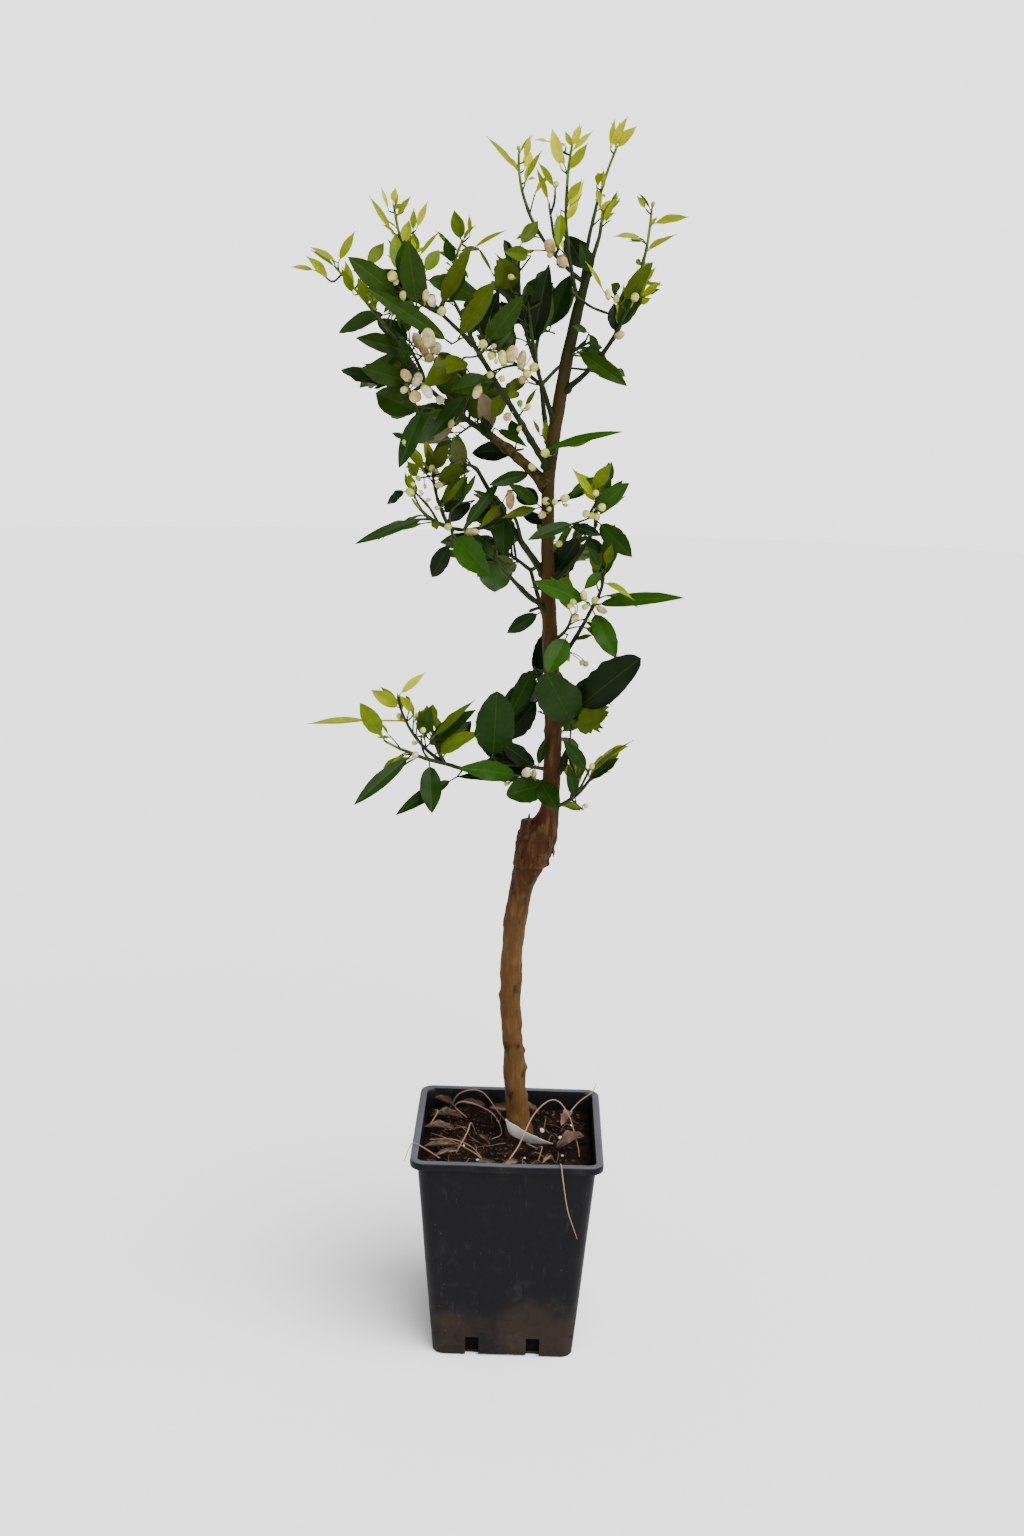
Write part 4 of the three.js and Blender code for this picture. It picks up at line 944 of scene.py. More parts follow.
# Boughs
# The limbs that leave the trunk: each starts from a collar in the bark and tapers to the
# masses of leaves it carries, with a small knot at every place where a leaf once grew.
BOUGHS = {
    "low_left_bough": ("trunk", 672, (-84, -40, 702), (0, -4, -3), (3.4, 2)),
    "right_mid_bough": ("trunk", 804, (77, -34, 879), (2, 0, -3), (3, 1.8)),
    "right_high_bough": ("trunk", 897, (78, -36, 968), (4, 0, -4), (3, 1.8)),
    "left_mid_bough": ("trunk", 866, (-15, -30, 909), (0, -3, 0), (2.8, 1.9)),
    "left_long_bough": ("trunk", 903, (-54, 20, 1020), (-1, 2, -3), (4, 2.2)),
    "left_low_bough": ("left_long_bough", 0.58, (-82, -30, 960), (0, 0, -8), (2.6, 1.8)),
    "left_main_bough": ("trunk", 1003, (-39, 12, 1055), (0, 4, 2), (6.6, 4.4)),
    "left_outer_bough": ("left_main_bough", 1, (-109, -34, 1110), (0, 0, -2), (3.2, 2)),
    "left_front_bough": ("trunk", 1022, (-56, -62, 1151), (-3, -10, 4), (3.8, 2.6)),
    "left_top_bough": ("left_front_bough", 1, (-92, -60, 1183), (0, -3, 0), (2.5, 1.8)),
    "centre_bough": ("trunk", 1068, (8, -18, 1136), (-1, -5, 0), (3, 2)),
    "right_upper_bough": ("trunk", 1103, (90, -20, 1163), (3, -2, -3), (3.2, 2.2)),
    "back_low_bough": ("trunk", 846, (8, 72, 905), (0, 6, -5), (3.2, 2)),
    "back_high_bough": ("trunk", 1034, (14, 66, 1112), (0, 6, -6), (3.6, 2.2)),
}
BOUGH_SIDES = 16
STRAY_SEED = 7
COLLAR_SWELL = 0.55
COLLAR_REACH = 5
FORK_RADIUS = 2.5
BROWN_BOUGHS = ("left_main_bough",)


class Run:
    """A curve through many close places, read by the share of its length."""

    def __init__(self, spots):
        self.spots = spots
        gone = np.cumsum([0.0] + [(b - a).length for a, b in zip(self.spots, self.spots[1:])])
        self.length = float(gone[-1])
        self.gone = gone / gone[-1]

    def at(self, share):
        share = min(max(share, 0), 1)
        i = min(max(int(np.searchsorted(self.gone, share, "right")) - 1, 0), len(self.spots) - 2)
        part = (share - self.gone[i]) / (self.gone[i + 1] - self.gone[i])
        return self.spots[i].lerp(self.spots[i + 1], float(part))

    def tangent(self, share):
        return (self.at(share + 0.005) - self.at(share - 0.005)).normalized()

    def steps(self, count, first=0.0, last=1.0):
        return [self.at(first + (last - first) * i / count) for i in range(count + 1)]


def bowed(foot, tip, bow=(0, 0, 0)):
    """A run between two places, bowed off the straight line."""
    bend = (foot + tip) / 2 + Vector(bow) * 2
    shares = [i / 100 for i in range(101)]
    return Run([foot * (1 - t) ** 2 + bend * (2 * t * (1 - t)) + tip * t * t for t in shares])


def knotty(spacing, proud, seed):
    """A ripple for a tube: knots by turns along it, and a slight unevenness."""
    def ripple(place, i):
        phase = (i / spacing) % 1
        knot = math.exp(-(((phase - 0.5) * 4) ** 2))
        knot *= max(noise.noise(place * 0.12 + Vector((seed, 0, 0))), 0)
        return proud * knot * 2 + 0.07 * noise.noise(place * 0.2)
    return ripple


# Vectors of noise change with the clock unless they have a seed.
noise.seed_set(STRAY_SEED)
limb_runs = {}
green_boughs, brown_boughs = Shape(), Shape()
for seed, (name, (parent, at, tip, bow, radii)) in enumerate(BOUGHS.items()):
    foot = trunk_centre(at) if parent == "trunk" else limb_runs[parent].at(at)
    run = bowed(foot, Vector(tip), bow)
    limb_runs[name] = run
    count = max(int(run.length / 2), 12)
    limb_radius = smooth_station(at)[2] if parent == "trunk" else FORK_RADIUS
    widths = []
    for i in range(count + 1):
        share = i / count
        plain = radii[0] + (radii[1] - radii[0]) * share
        beyond = max(run.length * share - limb_radius, 0)
        widths.append(plain * (1 + COLLAR_SWELL * math.exp(-beyond / COLLAR_REACH)))
    spots = run.steps(count)
    spots = [spot + 0.9 * noise.noise_vector(spot * 0.03) * min(1, 4 * i / count, 4 * (1 - i / count))
             for i, spot in enumerate(spots)]
    into = brown_boughs if name in BROWN_BOUGHS else green_boughs
    tube(into, spots, widths, BOUGH_SIDES, 0, knotty(9, 0.35, seed))

brown_bark, place, shader = start_finish("brown bough bark")
streaks = grain(place, 150, 4, 0.6)
feed(
    shader,
    Base_Color=blend(rise(streaks, 0.35, 0.7), (0.014, 0.01, 0.002), (0.05, 0.034, 0.008)),
    Roughness=0.65 + 0.2 * streaks,
    Normal=relief(streaks + 0.5 * grain(place, 600, 3), 0.001, 0.7),
    Specular_IOR_Level=0.09,
)
make_piece("brown_bough", brown_boughs, [brown_bark], list(BROWN_BOUGHS), crease=60)

green_bark, place, shader = start_finish("green bough bark")
mottle = grain(place, 90, 4, 0.6)
feed(
    shader,
    Base_Color=blend(rise(mottle, 0.3, 0.7), (0.004, 0.007, 0.0006), (0.014, 0.02, 0.0014)),
    Roughness=0.5 + 0.2 * mottle,
    Normal=relief(mottle + 0.4 * grain(place, 500, 3), 0.0006, 0.6),
    Specular_IOR_Level=0.09,
)
make_piece("green_boughs", green_boughs, [green_bark],
           [name for name in BOUGHS if name not in BROWN_BOUGHS], crease=60)


# Growth of the leaf masses
# Each mass grows from one stem. The leaves and buds that the photograph shows sit where it
# shows them, on their stems, and a seeded rule deals out the rest behind and round them.
AGES = {
    "old": dict(length=68, width=28, lean=58, arch=0.16, outline=(0.92, 0.6, 0.82)),
    "mid": dict(length=54, width=20, lean=50, arch=0.14, outline=(0.88, 0.66, 1.0)),
    "young": dict(length=36, width=9, lean=38, arch=0.1, outline=(0.84, 0.8, 1.3)),
}
LAST_ROOT = 0.97
FACE_SPREAD = 0.55
FACE_OUT = 0.7
TURN = 137.5
TRIES = 14
RETRY_TURN = 47
BUD_STALK = 6
CROWN_LOW = Vector((-253, -165, 600))
CROWN_HIGH = Vector((166, 165, 1392))
UP = Vector((0, 0, 1))
FRONT = Vector((0, -1, 0))
FINE_TWIGS = 4
FINE_LEAVES = 3
FILL_LEAVES = 6
PHOTO_WIDTH = 1024
PHOTO_HEIGHT = 1536
SENSOR = 36
FOCAL_PIXELS = LENS / SENSOR * PHOTO_HEIGHT
EYE = CAMERA_PLACE / MM
NEAR_STEM = 4
SHORT_LEAF = 0.5
PEEK = 4
MASSES = {
    "low_left_tip_leaves": dict(
        limb="low_left_bough", tip=(-146, -62, 730), bow=(0, 0, -3),
        age="young", leaves=0, twigs=0, buds=2, bud_size=3.6, room=130, seed=3,
    ),
    "low_left_rise_leaves": dict(
        limb="low_left_bough", tip=(-134, -10, 762), bow=(-6, 0, -6),
        age="young", leaves=1, twigs=0, buds=2, bud_size=3.6, room=80, seed=5,
    ),
    "low_left_inner_leaves": dict(
        limb="low_left_bough", tip=(-94, -50, 745), bow=(-3, 0, 0),
        age="mid", leaves=1, twigs=0, buds=2, bud_size=4.5, room=95, seed=8,
    ),
    "low_trunk_leaves": dict(
        limb="trunk", at=688, tip=(-23, -30, 697), bow=(0, 0, 3),
        age="old", leaves=3, twigs=0, buds=2, bud_size=5.5, room=95, seed=4,
    ),
    "low_right_leaves": dict(
        limb="trunk", at=643, tip=(91, -24, 706), bow=(6, 0, -8),
        age="mid", leaves=2, twigs=0, buds=2, bud_size=4, room=90, seed=6,
    ),
    "right_low_leaves": dict(
        limb="trunk", at=753, tip=(66, -40, 763), bow=(0, -4, 0),
        age="old", leaves=2, twigs=0, buds=2, bud_size=4, room=120, seed=2,
    ),
    "left_low_leaves": dict(
        limb="trunk", at=790, tip=(10, 4, 792), bow=(0, 0, 2),
        age="old", leaves=3, twigs=0, buds=0, bud_size=4, room=85, seed=9,
    ),
    "left_side_leaves": dict(
        limb="trunk", at=872, tip=(8, -14, 868), bow=(0, 0, 2),
        age="old", leaves=3, twigs=0, buds=0, bud_size=4, room=80, seed=12,
    ),
    "mid_front_leaves": dict(
        limb="trunk", at=835, tip=(55, -36, 870), bow=(4, -4, -3),
        age="mid", leaves=0, twigs=0, buds=4, bud_size=4.2, room=70, seed=7,
    ),
    "right_mid_leaves": dict(
        limb="right_mid_bough", tip=(87, -50, 916), bow=(3, 0, 0),
        age="mid", leaves=3, twigs=0, buds=3, bud_size=5, room=105, seed=15,
    ),
    "right_high_leaves": dict(
        limb="right_high_bough", tip=(76, -50, 1000), bow=(0, 0, 0),
        age="mid", leaves=3, twigs=0, buds=4, bud_size=4.6, room=90, seed=11,
    ),
    "mid_trunk_leaves": dict(
        limb="trunk", at=985, tip=(27, -40, 990), bow=(0, 0, 2),
        age="mid", leaves=1, twigs=0, buds=4, bud_size=4.6, room=75, seed=1,
    ),
    "thin_right_leaves": dict(
        limb="trunk", at=1034, tip=(32, -32, 1043), bow=(0, 0, 2),
        age="mid", leaves=1, twigs=0, buds=2, bud_size=4, room=95, seed=14,
    ),
    "left_mid_leaves": dict(
        limb="left_mid_bough", tip=(-31, -50, 934), bow=(0, 0, -3),
        age="old", leaves=4, twigs=0, buds=1, bud_size=4, room=85, seed=10,
    ),
    "left_low_cluster": dict(
        limb="left_low_bough", tip=(-119, -50, 991), bow=(-3, 0, -4),
        age="young", leaves=2, twigs=1, buds=5, bud_size=4, room=90, seed=17,
    ),
    "left_low_rise": dict(
        limb="left_low_bough", tip=(-103, 44, 1016), bow=(-4, 0, 0),
        age="mid", leaves=3, twigs=0, buds=3, bud_size=4, room=80, seed=18,
    ),
    "left_drape_leaves": dict(
        limb="left_long_bough", tip=(-70, -8, 1022), bow=(0, 0, 4),
        age="mid", leaves=3, twigs=1, buds=2, bud_size=4.6, room=85, seed=19,
    ),
    "left_outer_low": dict(
        limb="left_outer_bough", tip=(-130, -60, 1091), bow=(0, 0, 3),
        age="old", leaves=4, twigs=0, buds=2, bud_size=5.2, room=90, seed=20,
    ),
    "left_outer_mid": dict(
        limb="left_outer_bough", tip=(-144, -20, 1113), bow=(0, 0, 0),
        age="old", leaves=4, twigs=0, buds=4, bud_size=5.8, room=90, seed=21,
    ),
    "left_outer_high": dict(
        limb="left_outer_bough", tip=(-143, 60, 1160), bow=(4, 0, 0),
        age="old", leaves=5, twigs=0, buds=4, bud_size=6, room=100, seed=22,
    ),
    "left_top_leaves": dict(
        limb="left_top_bough", tip=(-129, -90, 1204), bow=(0, 0, -2),
        age="old", leaves=4, twigs=0, buds=2, bud_size=6, room=95, seed=45,
    ),
    "left_far_shoot": dict(
        limb="left_outer_bough", tip=(-209, 10, 1229), bow=(8, 10, -4),
        age="young", leaves=2, twigs=0, buds=0, bud_size=3, room=130, seed=24,
    ),
    "left_rise_shoot": dict(
        limb="left_top_bough", tip=(-148, 40, 1292), bow=(-8, 0, -4),
        age="young", leaves=2, twigs=0, buds=1, bud_size=3, room=115, seed=25,
    ),
    "left_inner_rise": dict(
        limb="left_top_bough", tip=(-75, 60, 1261), bow=(0, 0, 6),
        age="young", leaves=2, twigs=0, buds=1, bud_size=3, room=95, seed=26,
    ),
    "left_inner_top": dict(
        limb="left_front_bough", tip=(-78, -60, 1196), bow=(0, 0, 0),
        age="mid", leaves=4, twigs=0, buds=3, bud_size=6.2, room=90, seed=27,
    ),
    "left_inner_mid": dict(
        limb="left_front_bough", tip=(-44, -100, 1147), bow=(0, 0, -3),
        age="mid", leaves=4, twigs=0, buds=3, bud_size=6, room=85, seed=28,
    ),
    "centre_left_leaves": dict(
        limb="centre_bough", tip=(-2, -60, 1197), bow=(0, 0, -2),
        age="old", leaves=4, twigs=0, buds=1, bud_size=5, room=85, seed=29,
    ),
    "centre_right_leaves": dict(
        limb="centre_bough", tip=(24, 60, 1186), bow=(-6, 0, 0),
        age="old", leaves=4, twigs=0, buds=0, bud_size=5, room=85, seed=47,
    ),
    "centre_top_leaves": dict(
        limb="centre_bough", tip=(-12, -26, 1237), bow=(-6, 0, 0),
        age="old", leaves=3, twigs=0, buds=2, bud_size=5.6, room=90, seed=31,
    ),
    "top_left_shoot": dict(
        limb="trunk", at=1217, tip=(-16, 50, 1354), bow=(-20, 0, -6),
        age="young", leaves=1, twigs=0, buds=1, bud_size=3, room=125, seed=32,
    ),
    "top_centre_shoot": dict(
        limb="trunk", at=1196, tip=(40, -20, 1356), bow=(-10, 0, 0),
        age="young", leaves=0, twigs=0, buds=2, bud_size=3.4, room=130, seed=33,
    ),
    "top_right_shoot": dict(
        limb="trunk", at=1205, tip=(88, 30, 1359), bow=(-7, 6, 0),
        age="young", leaves=1, twigs=0, buds=0, bud_size=3, room=125, seed=34,
    ),
    "leader_leaves": dict(
        limb="trunk", at=1245, tip=(74, 10, 1293), bow=(2, 0, 0),
        age="young", leaves=1, twigs=0, buds=0, bud_size=3, room=75, seed=35,
    ),
    "right_cluster_leaves": dict(
        limb="right_upper_bough", tip=(106, -50, 1200), bow=(0, 0, 0),
        age="mid", leaves=4, twigs=0, buds=3, bud_size=5, room=85, seed=36,
    ),
    "right_far_shoot": dict(
        limb="right_upper_bough", tip=(128, 52, 1299), bow=(8, 6, -4),
        age="young", leaves=1, twigs=0, buds=1, bud_size=3, room=115, seed=37,
    ),
    "right_leaf_mass": dict(
        limb="trunk", at=1141, tip=(62, -22, 1155), bow=(0, 0, 2),
        age="mid", leaves=2, twigs=0, buds=0, bud_size=4, room=85, seed=38,
    ),
    "back_low_left": dict(
        limb="back_low_bough", tip=(-38, 98, 932), bow=(0, 4, 0),
        age="old", leaves=9, twigs=3, buds=2, bud_size=4, room=90, seed=39,
    ),
    "back_low_right": dict(
        limb="back_low_bough", tip=(50, 104, 925), bow=(0, 4, 0),
        age="mid", leaves=9, twigs=3, buds=2, bud_size=4, room=90, seed=40,
    ),
    "back_foot_leaves": dict(
        limb="trunk", at=716, tip=(52, 46, 742), bow=(0, 2, -3),
        age="old", leaves=6, twigs=0, buds=1, bud_size=4, room=85, seed=41,
    ),
    "back_high_left": dict(
        limb="back_high_bough", tip=(-44, 98, 1152), bow=(0, 4, 0),
        age="old", leaves=9, twigs=3, buds=2, bud_size=5, room=95, seed=46,
    ),
    "back_high_right": dict(
        limb="back_high_bough", tip=(62, 92, 1158), bow=(0, 4, 0),
        age="old", leaves=9, twigs=3, buds=2, bud_size=5, room=95, seed=48,
    ),
    "left_back_leaves": dict(
        limb="left_main_bough", tip=(-92, 66, 1092), bow=(0, 4, -3),
        age="old", leaves=9, twigs=3, buds=3, bud_size=5, room=100, seed=44,
    ),
}

# Stems that the photograph shows beside the masses' own: the pixels along each, the depth
# of its tip and its radius.
SEEN_STEMS = [
    (((558, 250), (554, 237), (550, 212), (549, 202)), 12, 1.3),
    (((551, 214), (555, 200), (555, 188)), 4, 1.1),
    (((333, 282), (325, 276), (315, 270)), -4, 0.9),
    (((406, 726), (401, 709), (398, 695)), -30, 1.0),
    (((429, 760), (423, 750), (421, 737)), -50, 1.1),
    (((566, 803), (579, 790), (590, 768)), -44, 1.3),
    (((515, 518), (524, 546), (541, 575)), -8, 1.6),
    (((510, 575), (522, 592), (535, 603)), 6, 1.4),
    (((572, 292), (590, 306), (609, 314)), -16, 1.5),
    (((590, 515), (597, 500), (598, 488)), -46, 1.2),
    (((440, 520), (428, 506), (413, 490)), -44, 1.2),
    (((452, 534), (450, 514), (464, 498)), -20, 1.2),
]

# Leaves that the photograph shows: the pixels of foot and tip, the width in pixels, the
# layer from 0 at the front to 2, how far the leaf faces the camera, its tint and any bend.
SEEN_LEAVES = [
    # centre upper
    ((417, 309), (408, 240), 26, 0, 0.9, "green"), ((398, 276), (395, 234), 15, 2, 0.8, "spring"),
    ((424, 274), (439, 250), 14, 2, 0.8, "spring"), ((456, 266), (445, 238), 12, 1, 0.8, "green"),
    ((439, 307), (471, 249), 17, 0, 0.8, "olive"), ((424, 280), (488, 301), 23, 2, 0.7, "green"),
    ((458, 339), (495, 282), 19, 0, 0.8, "olive"), ((482, 342), (499, 289), 17, 1, 0.8, "deep"),
    ((487, 345), (523, 296), 21, 0, 0.8, "green"), ((452, 344), (365, 287), 18, 1, 0.8, "green"),
    ((401, 299), (348, 257), 22, 1, 0.8, "green"), ((391, 313), (339, 333), 15, 2, 0.6, "green"),
    ((412, 344), (377, 320), 17, 2, 0.6, "dark"), ((422, 356), (356, 338), 20, 1, 0.7, "green"),
    ((408, 367), (401, 349), 9, 1, 0.8, "green"), ((401, 371), (395, 361), 8, 2, 0.8, "olive"),
    ((390, 385), (341, 370), 18, 2, 0.6, "dark"), ((412, 385), (361, 368), 21, 1, 0.8, "green"),
    ((423, 415), (376, 393), 30, 2, 0.85, "green"), ((424, 405), (399, 468), 19, 1, 0.8, "dark"),
    ((434, 408), (417, 443), 23, 2, 0.8, "green"), ((470, 392), (431, 437), 17, 0, 0.7, "dark"),
    ((464, 357), (447, 374), 22, 1, 0.8, "olive"), ((466, 360), (424, 388), 22, 1, 0.6, "olive"),
    ((496, 381), (451, 391), 23, 0, 0.7, "green"), ((440, 376), (438, 354), 8, 2, 0.8, "spring"),
    ((446, 372), (440, 365), 9, 2, 0.8, "green"), ((410, 440), (392, 433), 6, 2, 0.8, "green"),
    ((509, 391), (491, 418), 16, 2, 0.7, "olive"), ((528, 382), (506, 393), 9, 1, 0.5, "olive"),
    ((489, 435), (482, 416), 12, 0, 0.8, "deep"), ((480, 387), (491, 430), 19, 2, 0.8, "dry"),
    ((505, 402), (519, 392), 10, 2, 0.7, "olive"), ((494, 428), (527, 447), 9, 0, 0.6, "green"),
    ((517, 441), (511, 420), 12, 2, 0.8, "dark"), ((524, 409), (537, 388), 5, 1, 0.7, "olive"),
    ((540, 435), (533, 420), 4, 1, 0.6, "dry"), ((458, 418), (434, 441), 13, 2, 0.7, "dry"),
    ((463, 465), (453, 438), 17, 1, 0.5, "pale"), ((531, 256), (504, 252), 15, 0, 0.9, "olive"),
    ((511, 257), (505, 240), 9, 2, 0.9, "deep"), ((512, 292), (499, 257), 26, 1, 0.8, "olive"),
    ((519, 247), (538, 221), 14, 2, 0.8, "olive"), ((532, 348), (549, 264), 21, 0, 0.8, "deep"),
    ((549, 331), (570, 275), 22, 1, 0.8, "dark"), ((545, 330), (552, 311), 9, 2, 0.8, "dark"),
    ((590, 276), (567, 236), 26, 2, 0.8, "deep"), ((592, 276), (580, 243), 15, 1, 0.8, "dark"),
    ((543, 300), (527, 283), 14, 2, 0.8, "dark"), ((498, 352), (512, 330), 14, 2, 0.7, "dark"),
    # right upper
    ((621, 304), (653, 262), 15, 0, 0.8, "olive"), ((616, 331), (640, 288), 17, 1, 0.8, "green"),
    ((614, 335), (614, 303), 14, 2, 0.7, "deep"), ((617, 294), (611, 284), 12, 1, 0.8, "green"),
    ((640, 299), (661, 282), 8, 1, 0.7, "fresh"), ((648, 295), (660, 289), 5, 1, 0.5, "olive"),
    ((640, 305), (651, 298), 6, 1, 0.6, "fresh"), ((604, 292), (585, 261), 5, 0, 0.6, "fresh"),
    ((642, 265), (636, 262), 4, 1, 0.5, "olive"), ((633, 315), (641, 303), 9, 1, 0.5, "olive"),
    ((575, 348), (627, 386), 18, 0, 0.8, "green"), ((589, 333), (572, 326), 7, 1, 0.6, "green"),
    ((599, 350), (589, 334), 8, 1, 0.7, "dark"),
    # left outer shoots
    ((316, 270), (291, 267), 5, 1, 0.5, "fresh"), ((331, 280), (306, 256), 9, 0, 0.6, "fresh"),
    ((338, 263), (310, 247), 5, 1, 0.5, "fresh"), ((339, 262), (355, 231), 9, 1, 0.7, "fresh"),
    ((354, 295), (341, 268), 9, 1, 0.7, "spring"), ((366, 268), (384, 243), 13, 2, 0.7, "spring"),
    ((367, 309), (358, 278), 12, 1, 0.7, "spring"), ((377, 309), (369, 303), 8, 1, 0.7, "spring"),
    ((377, 300), (371, 287), 8, 2, 0.7, "spring"), ((393, 234), (369, 196), 6, 1, 0.6, "fresh"),
    ((393, 203), (395, 188), 7, 1, 0.8, "lime"), ((399, 218), (411, 196), 6, 1, 0.6, "fresh"),
    ((404, 211), (399, 203), 3, 2, 0.6, "fresh"), ((389, 211), (381, 187), 4, 2, 0.6, "lime"),
    ((413, 232), (414, 208), 7, 1, 0.7, "fresh"), ((416, 230), (428, 201), 7, 1, 0.7, "lime"),
    ((404, 246), (409, 220), 11, 2, 0.7, "fresh"), ((418, 258), (413, 232), 9, 2, 0.7, "spring"),
    ((418, 255), (440, 231), 4.5, 1, 0.5, "fresh"), ((461, 242), (454, 210), 14, 1, 0.8, "spring"),
    ((470, 236), (469, 214), 4.5, 1, 0.6, "fresh"), ((471, 250), (507, 230), 4.5, 1, 0.5, "fresh"),
    ((494, 276), (477, 246), 3.5, 2, 0.6, "olive"),
    # top shoots
    ((518, 173), (486, 136), 6, 1, 0.6, "fresh"), ((525, 161), (530, 135), 7, 1, 0.7, "lime"),
    ((524, 170), (531, 152), 10, 2, 0.8, "lime"), ((525, 182), (542, 150), 6, 1, 0.6, "fresh"),
    ((548, 203), (536, 167), 6, 1, 0.6, "fresh"), ((555, 188), (538, 162), 7, 1, 0.7, "fresh"),
    ((561, 169), (552, 129), 12, 1, 0.8, "lime"), ((550, 142), (534, 140), 3.5, 1, 0.5, "lime"),
    ((572, 147), (565, 131), 6, 1, 0.7, "fresh"), ((574, 146), (582, 126), 7, 1, 0.7, "lime"),
    ((573, 154), (593, 131), 5.5, 1, 0.6, "lime"), ((569, 172), (588, 143), 10, 1, 0.7, "fresh"),
    ((567, 202), (582, 180), 9, 1, 0.7, "fresh"), ((566, 222), (579, 200), 8, 1, 0.7, "lime"),
    ((561, 210), (559, 246), 12, 0, 0.8, "spring"), ((610, 149), (615, 118), 6, 1, 0.7, "lime"),
    ((613, 147), (628, 116), 8, 0, 0.7, "lime"), ((615, 147), (637, 126), 9, 1, 0.5, "lime"),
    ((596, 186), (604, 174), 8, 0, 0.6, "fresh"), ((596, 186), (601, 208), 6, 1, 0.7, "fresh"),
    ((604, 226), (619, 194), 6, 1, 0.7, "fresh"), ((566, 147), (560, 143), 3, 2, 0.5, "lime"),
    ((646, 209), (637, 196), 6, 1, 0.7, "fresh"), ((650, 225), (689, 217), 7, 1, 0.5, "fresh"),
    ((642, 241), (612, 238), 6, 1, 0.5, "fresh", "hook"), ((648, 252), (677, 234), 4, 1, 0.5, "fresh"),
    # middle left
    ((451, 533), (490, 575), 29, 0, 0.95, "fern"), ((452, 541), (432, 577), 19, 2, 0.8, "deep"),
    ((497, 551), (495, 592), 34, 2, 0.9, "fern"), ((502, 514), (504, 556), 21, 1, 0.8, "dark"),
    ((427, 520), (355, 544), 10, 1, 0.6, "dark"), ((407, 490), (387, 504), 10, 2, 0.6, "deep"),
    ((435, 471), (449, 444), 15, 1, 0.8, "olive"), ((432, 472), (427, 448), 7, 1, 0.8, "olive"),
    ((427, 475), (401, 441), 7, 0, 0.7, "spring"), ((418, 478), (407, 461), 11, 1, 0.7, "spring"),
    ((413, 489), (408, 474), 8, 1, 0.7, "spring"), ((430, 482), (468, 469), 15, 1, 0.6, "olive"),
    ((446, 471), (461, 460), 7, 2, 0.6, "olive"), ((444, 507), (469, 471), 6, 0, 0.95, "olive"),
    ((464, 499), (476, 474), 6, 1, 0.95, "green"), ((440, 515), (458, 500), 10, 1, 0.6, "deep"),
    ((531, 475), (489, 485), 13, 0, 0.8, "dark"), ((501, 480), (462, 532), 11, 0, 0.85, "dark", "curve"),
    ((503, 502), (479, 529), 9, 0, 0.9, "olive"), ((493, 504), (466, 521), 17, 2, 0.8, "deep"),
    ((475, 500), (447, 522), 15, 2, 0.8, "deep"), ((541, 507), (508, 484), 13, 0, 0.7, "dark"),
    ((539, 509), (517, 490), 20, 2, 0.8, "deep"), ((541, 508), (502, 518), 10, 1, 0.6, "olive"),
    ((546, 526), (522, 514), 12, 2, 0.7, "deep"), ((432, 524), (437, 530), 9, 1, 0.8, "olive"),
    ((524, 449), (472, 453), 21, 2, 0.9, "deep"),
    # trunk, right middle
    ((543, 452), (622, 432), 8, 1, 0.5, "fern"), ((546, 447), (545, 420), 10, 0, 0.9, "fresh"),
    ((577, 522), (528, 540), 13, 0, 0.7, "dark"), ((567, 525), (602, 536), 11, 1, 0.6, "deep"),
    ((597, 519), (632, 557), 21, 0, 0.8, "dark"), ((590, 515), (629, 483), 18, 1, 0.8, "fern"),
    ((593, 490), (611, 464), 14, 0, 0.8, "spring"), ((594, 500), (572, 468), 8, 1, 0.7, "fresh"),
    ((567, 499), (598, 476), 9, 1, 0.6, "fern"), ((583, 533), (552, 580), 25, 2, 0.8, "deep"),
    ((583, 537), (606, 560), 13, 0, 0.7, "dark"), ((606, 567), (612, 543), 10, 1, 0.8, "olive"),
    ((601, 568), (589, 547), 9, 1, 0.8, "dark"), ((589, 603), (533, 581), 18, 0, 0.8, "fern"),
    ((545, 592), (530, 587), 4, 1, 0.5, "olive"), ((603, 572), (584, 589), 11, 1, 0.7, "fern"),
    ((606, 583), (634, 602), 6, 0, 0.5, "fresh", "hook"), ((593, 606), (684, 598), 14, 0, 0.7, "fern"),
    ((592, 609), (616, 658), 22, 0, 0.9, "fern"), ((540, 612), (507, 633), 15, 2, 0.8, "dark"),
    ((568, 634), (547, 674), 24, 0, 0.9, "fern"), ((543, 628), (538, 680), 16, 2, 0.7, "deep"),
    ((575, 642), (593, 635), 5, 1, 0.5, "olive"), ((535, 667), (511, 714), 17, 1, 0.8, "dark"),
    ((578, 708), (641, 658), 37, 0, 0.9, "deep", "wide"), ((572, 724), (546, 672), 42, 0, 1, "dark", "wide"),
    ((573, 730), (609, 712), 24, 1, 0.8, "olive", "ragged"), ((541, 697), (504, 740), 26, 2, 0.8, "deep"),
    # low
    ((493, 758), (497, 691), 39, 0, 0.9, "dark", "wide"), ((535, 770), (501, 743), 18, 1, 0.8, "deep"),
    ((537, 769), (546, 737), 9, 1, 0.7, "dark"), ((545, 785), (506, 795), 27, 0, 0.95, "dark", "wide"),
    ((538, 779), (559, 811), 22, 0, 0.9, "dark"), ((521, 776), (459, 768), 19, 0, 0.8, "fern"),
    ((518, 783), (457, 777), 9, 1, 0.6, "deep"), ((570, 741), (561, 775), 8, 2, 0.7, "deep"),
    ((586, 770), (563, 740), 14, 0, 0.8, "dark"), ((576, 802), (568, 764), 11, 0, 0.8, "dark"),
    ((587, 781), (619, 758), 10, 1, 0.7, "dark"), ((590, 772), (634, 740), 3.5, 1, 0.5, "olive"),
